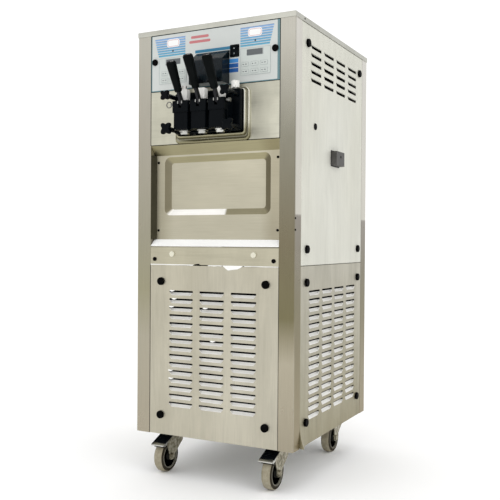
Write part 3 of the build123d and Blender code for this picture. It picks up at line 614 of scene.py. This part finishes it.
def sheet_metal(name, bm, material, outward, replaces, rolled):
    """A piece of 1 mm sheet whose inner side is near-black painted shade; rolled sheets are shaded smooth,
    others flat.
    """
    piece = add_piece(name, bm, [material, "inside", "flap", "inside"], replaces=replaces)
    mesh = piece.data
    if sum(face.normal.dot(outward) * face.area for face in mesh.polygons) < 0:
        mesh.flip_normals()
    thick = piece.modifiers.new("sheet", "SOLIDIFY")
    thick.thickness = 1.0 * MM
    thick.offset = -1
    thick.material_offset = 1
    if rolled:
        piece.modifiers.new("even", "WEIGHTED_NORMAL").keep_sharp = True
    else:
        mesh.shade_flat()


def louvred_panel(name, material, u, v, cells, place, replaces=(), openings=(), press=pressed_louvre,
                  dent=None, extra=((), ())):
    """A sheet with vents and rolled edges; extra adds lines for dent, which pushes points outwards."""
    bm = bmesh.new()
    flat_u = (u[0] + FOLD_RADIUS, u[1] - FOLD_RADIUS)
    flat_v = (v[0] + FOLD_RADIUS, v[1] - FOLD_RADIUS)
    lines = [list(extra[0]), list(extra[1])]
    if press is pressed_louvre:
        lines[0] += [line for (a, b), _ in cells for line in (a + FLAP_TAPER, b - FLAP_TAPER)]
        lines[1] += [high - FLAP_GAP for _, (_, high) in cells]
    vert = grid_sheet(bm, flat_u, flat_v, list(cells) + list(openings), place, lines)
    folded_border(bm, flat_u, flat_v, place)
    for cell in cells:
        press(bm, vert, cell, place)
    outward = place(u[0], 0, v[0]) - place(u[0], 1, v[0])
    if dent:
        for point in bm.verts:
            point.co += outward * dent(point.co)
    sheet_metal(name, bm, material, outward.normalized(), replaces, press is pressed_louvre)


def vent_backing(name, u, v, place):
    """A near-black sheet with a folded rim, close behind a field of vents, shaped as a filter: painted
    shade seen through the vents.
    """
    deep = 24

    def ring(grow, sink):
        outline = rounded_ring(u[1] - u[0] + 2 * grow, v[1] - v[0] + 2 * grow, 6)
        return [place((u[0] + u[1]) / 2 + a, sink, (v[0] + v[1]) / 2 + b) for a, b in outline]

    rim = [ring(0, deep - 5), ring(0, deep), ring(4, deep + 1.5), ring(4, deep - 5)]
    lofted(name + "_rim", rim, ["inside"], closed_ends=False)
    lofted(name, [ring(0, deep - 1.5), ring(0, deep)], ["inside"])


def bowed_corner(co):
    """How far, in millimetres, a side panel's foot has bowed out at its front corner."""
    back = (co.y - FRONT) / MM - POST
    up = (co.z - UNDER) / MM
    return 15 * max(0.0, 1 - back / 60) ** 2 * max(0.0, 1 - up / 70) ** 2


def build_panels():
    """Front, rear and side sheets; the upper sides have plain slots, the others pressed louvres."""
    half = HALF_W - POST - SEAM
    width = (-half, half)
    low_v, high_v = (0.3, 529.8), (531.2, 1238.7)
    columns = (-108, 0, 108)
    front_cells = louvre_cells(columns, FRONT_VENT_TOP, 15)
    louvred_panel("front_louvre_sheet", "louvre", width, (0.3, 526.8), front_cells, at,
                  ("front_louvre_panel",))
    louvred_panel("rear_low_sheet", "side_low", width, low_v, front_cells, rear_place,
                  ("rear_panels",))
    louvred_panel("rear_top_sheet", "side", width, high_v, louvre_cells(columns, 1182, 5), rear_place)
    columns = (152, 256, 360, 467)
    depth = (47.7, DEPTH - 47.7)
    drawer = [(low - DRAWER_GAP, high + DRAWER_GAP) for low, high in (DRAWER_Y, DRAWER_Z)]
    low_cells = louvre_cells(columns, 456, 16)
    high_cells = louvre_cells(columns, 1185, 5, 10.5)
    for side, sign in (("right", 1), ("left", -1)):
        place = side_place(sign)
        right = sign > 0
        louvred_panel(f"side_low_sheet_{side}", "side_low", depth, low_v, low_cells, place,
                      ("side_panels_lower",) if right else (), dent=bowed_corner if right else None,
                      extra=((54, 62, 72, 84), (8, 16, 26, 50)))
        louvred_panel(f"side_top_sheet_{side}", "side", depth, high_v, high_cells, place,
                      ("side_panels_upper",) if right else (), [drawer] if right else [], punched_vent)
        vent_backing(f"side_low_filter_{side}", (100, 520), (20, 470), place)
        vent_backing(f"side_top_filter_{side}", (100, 520), (1085, 1200), place)
    vent_backing("front_shade_filter", (-165, 165), (20, 465), at)
    vent_backing("rear_low_shade_filter", (-165, 165), (20, 465), rear_place)
    vent_backing("rear_top_shade_filter", (-165, 165), (1060, 1198), rear_place)


def build_drawer_sleeve():
    """The black sleeve round the leak drawer's mouth."""
    y, z = (DRAWER_Y[0] + DRAWER_Y[1]) / 2, (DRAWER_Z[0] + DRAWER_Z[1]) / 2
    wide, tall = DRAWER_Y[1] - DRAWER_Y[0], DRAWER_Z[1] - DRAWER_Z[0]
    rings = []
    for x, grow, radius in ((-60, 0.7, 1.5), (0.6, 0.7, 1.5), (0.6, 3.2, 3), (0.05, 3.6, 3.2)):
        outline = rounded_ring(wide + 2 * grow, tall + 2 * grow, radius)
        rings.append([at(HALF_W + x, y + a, z + b) for a, b in outline])
    lofted("drawer_sleeve", rings, ["drawer"], closed_ends=False)


# ---- control panel


def printed_stripes(bm, left, right, slants):
    """A stack of level two-tone stripes whose ends slope."""
    tall = STRIPES_TOP - STRIPES_FOOT
    pitch = tall / STRIPES
    for i in range(STRIPES):
        for share, thick, material in ((0.0, 0.2, 1), (0.2, 0.5, 0)):
            z = STRIPES_TOP - (i + share) * pitch
            drop = (STRIPES_TOP - z) / tall
            ends = (left + slants[0] * drop, right + slants[1] * drop)
            shift = tuple(slant * thick / STRIPES for slant in slants)
            tile(bm, ends, (z - thick * pitch, z), 0, 0.3, 0, material, shift)


def outline_tile(bm, x, z, width, height, radius, line=0.7, y=0.0, lift=0.3, material=0):
    """A thin printed frame round a rounded rectangle."""
    rings = []
    for shrink, depth in ((0, 0), (0, lift), (line, lift), (line, 0)):
        outline = rounded_ring(width - 2 * shrink, height - 2 * shrink, max(radius - shrink, 0.1), 3)
        rings.append(level_ring(x, y - depth, z, outline))
    ring_loft(bm, rings, False, material)


def build_control_panel():
    """The printed overlay: a field inside the edge trim, stripes, blue bands, labels, frames round the keys
    and lamps, and marks.
    """
    bm = bmesh.new()
    tile(bm, (-218, 213.5), (1067.5, 1236.5), 0, 0.15, 2)
    add_piece("overlay_field", bm, ["print"])
    bm = bmesh.new()
    printed_stripes(bm, 93, 203, (0, -15))
    printed_stripes(bm, -208, -97, (15, 0))
    tile(bm, (-62, 61), (1168.5, 1177.5), 0, 0.3, 0, 2)
    for i in range(3):
        z = 1139 - i * 14
        tile(bm, (-57, 86.5), (z - 12, z), 0, 0.3, 0, 4 if i else 3)
    add_piece("overlay_bands", bm, ["stripe", "stripe_edge", "cyan", "sky", "blue"])
    bm = bmesh.new()
    for side in (-1, 1):
        tile(bm, around(side * LABEL_X, 23), (1197, 1222), 0, 0.45, 9)
    for x, z, width in ((-46, 1218, 62), (-46, 1204, 74)):
        tile(bm, around(x, width / 2), around(z, 4), 0, 0.35, 3.5, 1)
    for side in (-1, 1):
        outline_tile(bm, side * LABEL_X, 1209.5, 41, 20, 7, 1.0, -0.45, 0.2, 1)
    add_piece("overlay_blank_labels", bm, ["label", "red"])
    # The small grey frames round each key are partly printed outline, partly painted shadow round the
    # raised keys.
    bm = bmesh.new()
    for side in (-1, 1):
        outline_tile(bm, side * 142.5, 1125.5, 99, 79, 3, 0.9, -0.8)
        outline_tile(bm, side * 142.5, 1152, 54, 19, 1.5, 1.0, -0.8)
        for x in KEY_X:
            for z in KEY_Z:
                outline_tile(bm, side * x, z, 24, 13, 2, 0.7, -1.6)
    add_piece("overlay_key_frames", bm, ["key_line"])
    bm = bmesh.new()
    for side in (-1, 1):
        turned(bm, [(-0.6, 2.8), (0.1, 2.8)], (side * 142, 0, 1185.5), "Y", 20)
        for x in KEY_X:
            for z in KEY_Z:
                turned(bm, [(-1.9, 1.6), (-1.5, 1.6)], (side * x - 6, 0, z), "Y", 12)
                tile(bm, (side * x, side * x + 6), (z - 0.7, z + 1.0), -1.6, 0.2)
    add_piece("overlay_marks", bm, ["dot"])


def build_rocker():
    """A two-position rocker in a thin bezel, with two plain marks."""
    outer, inner = rounded_ring(31, 37, 3), rounded_ring(26.4, 32.6, 1.5)
    steps = ((outer, 0.0), (outer, -1.4), (inner, -2.0), (inner, 2.0))
    rings = [level_ring(ROCKER_X, y, ROCKER_Z, outline) for outline, y in steps]
    bevelled(lofted("rocker_bezel", rings, ["gloss_black"], closed_ends=False), 0.4)
    bm = bmesh.new()
    turned(bm, [(-4.3, 2.0), (-3.4, 2.0)], (ROCKER_X, 0, ROCKER_Z + 7), "Y", 20)
    tile(bm, around(ROCKER_X, 0.8), (ROCKER_Z - 10.5, ROCKER_Z - 6), -3.4, 0.9, 0.5)
    add_piece("rocker_marks", bm, ["key_line"], "rocker_switch")


# ---- dispensing head


LEAN = radians(29)
PIVOT = (-75, 1004)
VALVE_X, VALVE_Y = (-60.5, 0, 60.5), -58
GRIPS = ((38, 124), (45, 138), (38, 131))


def leaned(x, y, up):
    """A point at a handle: x across, y towards its back, up along the grip from the pivot."""
    return at(x, PIVOT[0] + y * cos(LEAN) - up * sin(LEAN), PIVOT[1] + y * sin(LEAN) + up * cos(LEAN))


def leaned_loft(name, x, stations, material, body, replaces=()):
    """A rounded bar along a handle: stations are (distance up, width, depth, corner radius)."""
    rings = []
    for up, width, depth, radius in stations:
        rings.append([leaned(x + a, b, up) for a, b in rounded_ring(width, depth, radius)])
    lofted(name, rings, [material], body, replaces)


def build_handle(name, x, foot, top):
    """Blackened lever, a tapering grip with a waist at its foot, and an end cap with its screw."""
    body = f"handle_{name}"
    grip = [(foot - 1, 15, 13, 5), (foot, 18.5, 16.5, 5.5), (foot + 3, 20.4, 18, 6),
            (foot + 23, 22.6, 18.6, 6.5), (foot + 53, 25.4, 19.8, 7), (top - 6, 28.6, 20.8, 7.5),
            (top - 1.5, 28.9, 21, 7.5), (top, 27.6, 20, 7)]
    leaned_loft(f"grip_{name}", x, grip, "grip", body, (f"draw_handle_{name}",))
    cap = [(top - 0.5, 24.5, 17.5, 5.5), (top + 2.4, 24.5, 17.5, 5.5), (top + 3.8, 22, 15, 5)]
    leaned_loft(f"grip_cap_{name}", x, cap, "black", body)
    screw = [(top + 3, 9, 9, 4.4), (top + 3.6, 9, 9, 4.4), (top + 4, 8, 8, 3.9), (top + 3.2, 3, 3, 1.4)]
    leaned_loft(f"grip_screw_{name}", x + 4, screw, "bright", body)
    eye = [(9 * sin(radians(a)), 9 * -cos(radians(a))) for a in range(-120, 121, 15)]
    outline = eye + [(6, foot + 13), (-6, foot + 13)]
    rings = [[leaned(x + side, a, b) for a, b in outline] for side in (-4, 4)]
    bevelled(lofted(f"lever_{name}", rings, ["oxide"], body), 0.8)
    tail = [(0, -3), (20, -3), (20, 3), (0, 3)]
    rings = [[at(x + side, PIVOT[0] + a, PIVOT[1] + b) for a, b in tail] for side in (-4, 4)]
    bevelled(lofted(f"lever_tail_{name}", rings, ["oxide"], body), 0.8)


def build_hand_screw(level, side, x, z, front, radius):
    """A four-lobed knob with softened edges, its long sleeve and a flange at the sleeve's foot."""
    bm = bmesh.new()
    shares = [(0.3, 0.66), (0, 0.74), (1.2, 0.93), (3.5, 0.985), (9, 0.985), (11.2, 0.92), (12, 0.75),
              (12, 0.5)]
    head = [(along, share * radius) for along, share in shares]
    turned(bm, head, (x, front, z), "Y", 64, 0, lobed)
    foot = -35.4 - front
    neck = [(11.5, 8.6), (16, 7.2), (foot - 6, 6.9), (foot - 5, 7.9), (foot, 7.9)]
    turned(bm, neck, (x, front, z), "Y", 32)
    name = f"hand_screw_{level}_{side}"
    add_piece(f"{name}_knob", bm, ["gloss_black"], name, (name,))


def build_door_lips():
    """The pressed steel collar round the head: two rounded ridges with a channel between them."""
    outer, inner = (897, 1053, 128), (923, 1044, 112)
    profile = [(0, 0), (0, -4), (0.06, -6.6), (0.16, -7.9), (0.27, -7.6), (0.36, -6.2), (0.44, -5.6),
               (0.5, -6.4), (0.55, -10), (0.6, -14.5), (0.68, -17.2), (0.78, -18), (0.88, -17.2),
               (0.95, -15), (0.985, -11), (0.985, 0)]
    bm = bmesh.new()
    rings = []
    for share, y in profile:
        low, high, half = [a + (b - a) * share for a, b in zip(outer, inner)]
        outline = rounded_ring(2 * half, high - low, 15 - 8 * share, 8)
        rings.append(level_ring(0, y, (low + high) / 2, outline))
    made = ring_loft(bm, rings, False)
    # The channel and inner foot faces take the darker copy: painted shade.
    channel = {point for ring in (*made[4:8], *made[-2:]) for point in ring}
    for face in bm.faces:
        face.material_index = int(all(point in channel for point in face.verts))
    piece = add_piece("door_collar", bm, ["ring", "ring_shade"], replaces=("door_frame",))
    soft = piece.modifiers.new("soft", "SUBSURF")
    soft.levels = soft.render_levels = 1


def build_guard():
    """A smoked cover bent from one sheet: a sloping top, a front with a lip and two cheeks."""
    bm = bmesh.new()
    half, foot = 57, 1066
    section = [(0.2, 1167), (-38, 1139), (-42, 1136), (-44.4, 1131.5), (-45, 1127), (-45, foot)]
    rows = [[bm.verts.new(at(x, y, z)) for y, z in section] for x in (-half, half)]
    for i in range(len(section) - 1):
        bm.faces.new((rows[0][i], rows[1][i], rows[1][i + 1], rows[0][i + 1]))
    for row, x in zip(rows, (-half, half)):
        bm.faces.new((*row, bm.verts.new(at(x, 0.2, foot))))
    guard = add_piece("smoked_guard", bm, ["smoked"], replaces=("handle_guard",))
    thick = guard.modifiers.new("sheet", "SOLIDIFY")
    thick.thickness = 2.2 * MM
    thick.offset = -1
    bevelled(guard, 0.9)
    bm = bmesh.new()
    for x in (-29, 30):
        arc = [(22 * cos(radians(a)), 17 * sin(radians(a))) for a in range(0, 181, 12)]
        ring_loft(bm, [level_ring(x, y, foot, arc) for y in (-45.1, -46.4)])
    bevelled(add_piece("guard_stops", bm, ["gloss_black"]), 0.6)


def build_piston(name, x):
    """A white plunger: a square head over two cheeks and a round stem."""
    body = f"piston_{name}"
    rings = []
    for z, size, radius in ((1014, 22, 2.5), (1046.6, 22, 2.5), (1047.6, 21.2, 2.3), (1048, 19.5, 2)):
        outline = rounded_ring(size + 1, size, radius)
        rings.append([at(x + a, VALVE_Y + b, z) for a, b in outline])
    lofted(f"piston_head_{name}", rings, ["white"], body, (f"valve_piston_{name}",))
    for side, sign in SIDES:
        across = sorted((x + sign * 5.2, x + sign * 10))
        block_piece(f"piston_cheek_{name}_{side}", across, around(VALVE_Y, 5), (978, 1013), "white", body)
    bm = bmesh.new()
    turned(bm, [(0, 10.5), (1.4, 11.9), (45, 11.9), (46, 11)], (x, VALVE_Y, 933), "Z", 40)
    add_piece(f"piston_stem_{name}", bm, ["white"], body)


def build_nozzle(name, x):
    """A bright stepped collar and a star-shaped outlet under a valve; the outlet's end and bore are
    near-black painted shade.
    """
    bm = bmesh.new()
    foot = NOZZLE_FOOT - NOZZLE_TOP
    outer = [(0, 16), (-2.5, 16.6), (-4, 16), (-4.5, 13.4), (-9, 13.4), (-11, 12.6), (foot, 11)]
    inner = [(foot, 11), (foot, 8.8), (-4, 8.8)]
    for material, (profile, outline) in enumerate(((outer, circle), (inner, star))):
        turned(bm, profile, (x, VALVE_Y, NOZZLE_TOP), "Z", 40, material, outline)
        bmesh.ops.delete(bm, geom=[f for f in bm.faces if len(f.verts) > 4], context="FACES_ONLY")
    add_piece(f"nozzle_collar_{name}", bm, ["bright", "inside"],
              replaces=("draw_nozzles",) if name == "left" else ())


def build_head_details():
    """Handles, pistons, outlets and hand screws, with bright clips in the head's slots and by them."""
    for name, x, grip_ends in zip(("left", "centre", "right"), VALVE_X, GRIPS):
        build_handle(name, x, *grip_ends)
        build_piston(name, x)
        build_nozzle(name, x)
        for side, sign in SIDES:
            across = sorted((x + sign * 5.2, x + sign * 8.2))
            block_piece(f"slot_clip_{name}_{side}", across, (-88.6, -86.9), (1003, 1011), "clip")
        block_piece(f"edge_clip_{name}", (x + 22, x + 29), (-87, -83), (1011.5, 1014), "clip")
    for level, *place, radius in (("upper", 100, 1028, -112, 17.5), ("lower", 103, 932, -101, 21.5)):
        for side, sign in SIDES:
            build_hand_screw(level, side, sign * place[0], *place[1:], radius)


# ---- castors


def build_wheel(end, side, x, y):
    """Rounded tread, dark shoulders with a pale ring, and a dished hub."""
    centre = (x, y - 38, -77)
    bm = bmesh.new()
    outside = [(12, 41), (12.5, 45.5), (13.5, 47.5), (11, 49.3), (7, 50)]
    profile = [(-1, 41), *[(-a, r) for a, r in outside], *reversed(outside), (1, 41)]
    turned(bm, profile, centre, "X", 64)
    body = f"wheel_{end}_{side}"
    add_piece(f"tread_{end}_{side}", bm, ["tread"], body, (f"caster_wheel_{end}_{side}",))
    bm = bmesh.new()
    shoulder = [(11, 47), (14.2, 46.6), (15, 44), (15, 38.2), (13.6, 37.2), (10, 37)]
    ring = [(11, 38.4), (15.6, 37.6), (15.6, 35.4), (10, 34.8)]
    dish = [(8, 36), (10.5, 35), (8, 30), (8, 17), (13, 14), (17.3, 12.5), (17.3, 10), (16.5, 9)]
    for sign in (-1, 1):
        for material, half in enumerate((shoulder, ring, dish)):
            turned(bm, [(sign * a, r) for a, r in half], centre, "X", 64, material)
    add_piece(f"wheel_body_{end}_{side}", bm, ["tyre_side", "tyre_ring", "hub"], body)


def swept(name, outline, half, centre, material, body, replaces=(), edge=0.6):
    """A bar of one outline, given as (Y, Z) from a castor's swivel axis and the cabinet's underside."""
    x, y = centre
    rings = [[at(x + side, y + a, b) for a, b in outline] for side in (-half, half)]
    bevelled(lofted(name, rings, [material], body, replaces), edge)


def build_pedal(side, x, y):
    """A ribbed black foot plate with a bright tip, two bright ears and a brake shoe."""
    body = f"brake_pedal_{side}"
    cover = [(-31.5, -9), (-79, -28.6), (-79.4, -31.9), (-31.5, -12)]
    swept(f"pedal_cover_{side}", cover, 22.8, (x, y), "black", body, (body,), 1.0)
    slope = 19.6 / 47.5
    for i in range(5):
        a = -42 - 7 * i
        z = -9 + (a + 31.5) * slope
        rib = [(a, z - 0.4), (a, z + 0.9), (a - 3, z - 0.35), (a - 3, z - 1.8)]
        swept(f"pedal_rib_{side}_{i}", rib, 17, (x, y), "gloss_black", body, (), 0.4)
    tip = [(-78, -28.3), (-84, -30.6), (-90, -34), (-90, -37), (-84, -35), (-78, -32)]
    swept(f"pedal_tip_{side}", tip, 23, (x, y), "bright", body, (), 1.0)
    ear = [(-62, -24.5), (-78, -31.2), (-86, -35.5), (-80, -40), (-70, -36), (-63, -30)]
    for edge, sign in SIDES:
        swept(f"pedal_ear_{side}_{edge}", ear, 0.8, (x + sign * 22, y), "bright", body, (), 0.3)
    shoe = [(-60, -23), (-78.6, -31), (-78.6, -43), (-70.5, -35.8), (-66, -31), (-62, -29.5)]
    swept(f"pedal_shoe_{side}", shoe, 17.6, (x, y), "drawer", body, (), 0.5)


def build_castors():
    """Four wheels, and a brake pedal at each of the front two."""
    for end, y in CASTOR_Y.items():
        for side, sign in SIDES:
            build_wheel(end, side, sign * CASTOR_X, y)
    for side, sign in SIDES:
        build_pedal(side, sign * CASTOR_X, CASTOR_Y["front"])


# ---- signs of use


def build_film_scraps():
    """Torn bits of white protective film along the seam over the lower front panel, and a dark tear."""
    strips = [
        [(-221, 529.4), (-62, 529.4), (-66, 526.6), (-90, 527.1), (-140, 526.4), (-190, 527),
         (-221, 526.6)],
        [(-14, 528.6), (36, 528.9), (34, 526.2), (22, 526.9), (8, 525.6), (-4, 526.6), (-10, 525.9)],
        [(36, 528.9), (107, 528.9), (98, 523), (88, 518.6), (74, 517), (56, 514.4), (48, 519.5),
         (41, 525)],
        [(107, 528.9), (221, 528.9), (221, 527.1), (170, 526.6), (140, 527.4), (112, 526.8)],
    ]
    shred = ((-9, 1), (-4, 2.6), (3, 1.8), (11, 2.2), (7, -0.6), (0, -2.8), (-6, -1.2))
    for x, row in ((-141, 0), (-133, 1), (-143, 2), (-22, 2), (4, 6), (-146, 10), (-144, 11)):
        z = FRONT_VENT_TOP - row * SLOT_PITCH - 1.5
        strips.append([(x + a, z + b) for a, b in shred])
    bm = bmesh.new()
    for strip in strips:
        middle = [sum(p[i] for p in strip) / len(strip) for i in (0, 1)]
        rings = []
        for y, grow in ((-0.2, 1.0), (-0.9, 0.99)):
            rings.append([at(middle[0] + (x - middle[0]) * grow, y, z) for x, z in strip])
        ring_loft(bm, rings)
    add_piece("film_scraps", bm, ["film"], smooth=False)
    bm = bmesh.new()
    gap = [(-60, 530.5), (-47, 532.5), (-38, 528.5), (-40, 526), (-52, 526.8), (-60, 526.4)]
    ring_loft(bm, [[at(x, y, z) for x, z in gap] for y in (-0.2, -0.7)])
    add_piece("seam_tear", bm, ["inside"], smooth=False)


def build_seams():
    """Dark joint lines round the front panels, painted shade on the alcove's jambs, and its ledge painted
    near-white as a reflection.
    """
    bm = bmesh.new()
    edge = HALF_W - POST + 0.3
    for sign in (-1, 1):
        tile(bm, around(sign * edge, 1.1), (897, 1238.5), 0, 0.15)
        tile(bm, around(sign * edge, 0.6), (1, 527), 0, 0.12)
    for levels in ((1062.6, 1064.6), (896.6, 898.9), (1237.2, 1239.4)):
        tile(bm, (-edge, edge), levels, 0, 0.12)
    add_piece("seam_lines", bm, ["inside"])
    bm = bmesh.new()
    rear = ALCOVE_DEEP - 0.15
    for sign in (-1, 1):
        wall = sign * (edge - 0.4)
        strip = [(wall, 1.5), (wall, rear), (sign * 213, rear), (sign * 213, rear + 0.1),
                 (wall + sign * 0.1, 1.5)]
        ring_loft(bm, [[at(x, y, z) for x, y in strip] for z in ALCOVE_Z])
    add_piece("alcove_jambs", bm, ["jamb"])
    # The ledge's near-white colour is a painted reflection.
    half = HALF_W - POST - 1
    section = [(0.2, 585.3), (-0.5, 585.2), (-0.6, 586.3), (21.6, ALCOVE_Z[0] + 0.2), (21.8, 605.3)]
    rings = [[at(x, y, z) for y, z in section] for x in (-half, half)]
    bevelled(lofted("ledge_sheet", rings, ["ledge"]), 0.3)


def build_roof_screw():
    """A screw head on the right of the roof's band."""
    bm = bmesh.new()
    turned(bm, [(0, 3), (1.0, 2.8), (1.3, 1.6), (0.9, 0.5)], (HALF_W + 0.9, 62, 1247), "X", 20)
    add_piece("roof_screw", bm, ["plug"])


# ---- CAD nodes that stay


DRESSED = {
    "post": ("corner_posts",),
    "roof": ("roof_cover", "hopper_lid"),
    "splash": ("splash_panel",),
    "bar": ("drip_bar",),
    "face": ("faceplate",),
    "trim": ("control_panel",),
    "key": ("keypads",),
    "lcd": ("display_windows",),
    "gloss_black": ("dispensing_head", "rocker_switch"),
    "plug": ("panel_fasteners", "cord_gland"),
    "button": ("shelf_buttons",),
    "white": ("prime_plug_left", "prime_plug_right"),
    "pin": ("pivot_pin",),
    "bright": ("beater_left", "beater_right"),
    "inner": ("freezing_cylinders", "hoppers", "base_pan", "mid_shelf"),
    "rubber": ("door_gaskets",),
    "drawer_face": ("leak_drawer",),
    "drawer": ("condenser_fan",),
    "motor": ("gear_motors", "compressor", "fan_motor"),
    "fins": ("condenser",),
    "copper": ("refrigerant_pipes",),
    "box": ("electrical_box",),
    "zinc": ("caster_plates", *[f"caster_fork_{end}_{side}" for end in CASTOR_Y for side, _ in SIDES]),
}


def dress_all():
    """Gives each CAD node that is kept its material."""
    for material, names in DRESSED.items():
        for name in names:
            mesh = NODES[name].data
            if mesh.materials:
                mesh.materials[0] = MAT[material]
            else:
                mesh.materials.append(MAT[material])


# ---- stage


def build_stage():
    """Pale floor, white surroundings and three soft lights."""
    bm = bmesh.new()
    bmesh.ops.create_grid(bm, x_segments=1, y_segments=1, size=30)
    mesh = bpy.data.meshes.new("floor")
    bm.to_mesh(mesh)
    bm.free()
    floor = linked("floor", mesh)
    s = Shader("floor_pale", (0.98, 0.98, 0.98), 0.9)
    s.tint(s.ramp(s.noise(1.5), [(0.3, 0.985), (0.7, 1.0)]))
    mesh.materials.append(s.mat)
    world = bpy.data.worlds.new("studio")
    world.use_nodes = True
    background = world.node_tree.nodes["Background"]
    background.inputs["Color"].default_value = (1.0, 1.0, 1.0, 1)
    background.inputs["Strength"].default_value = 1.12
    bpy.context.scene.world = world
    bpy.context.scene.view_settings.view_transform = "Standard"
    lights = (
        ("key", (4.2, -2.2, 3.0), (0.3, 0, 0.8), 3.0, 16),
        ("front_soft", (-1.2, -4.5, 2.6), (0, 0, 0.8), 3.0, 12),
        ("top", (0.3, -0.4, 4.2), (0, 0, 0.7), 2.5, 10),
    )
    for name, place, target, size, power in lights:
        data = bpy.data.lights.new(name, "AREA")
        data.shape = "SQUARE"
        data.size = size
        data.energy = power
        lamp = linked(name, data)
        lamp.location = place
        lamp.rotation_euler = (Vector(target) - Vector(place)).to_track_quat("-Z", "Y").to_euler()


def build_camera():
    """A long lens at chest height, to the right of the front, nearly level."""
    yaw, pitch, roll = radians(27.353), radians(-0.625), radians(0.371)
    forward = Vector((-sin(yaw) * cos(pitch), cos(yaw) * cos(pitch), sin(pitch)))
    right = Vector((cos(yaw), sin(yaw), 0))
    up = right.cross(forward)
    right, up = cos(roll) * right + sin(roll) * up, cos(roll) * up - sin(roll) * right
    data = bpy.data.cameras.new("camera")
    data.lens = 54.32
    data.sensor_width = 36
    camera = linked("camera", data)
    turn = Matrix((right, up, -forward)).transposed().to_4x4()
    camera.matrix_world = Matrix.Translation(at(1140.7, -1955.8, 600.1)) @ turn
    bpy.context.scene.camera = camera


build_camera()
build_stage()
dress_all()
build_panels()
build_drawer_sleeve()
build_control_panel()
build_rocker()
build_door_lips()
build_guard()
build_head_details()
build_castors()
build_film_scraps()
build_seams()
build_roof_screw()

bpy.context.view_layer.update()
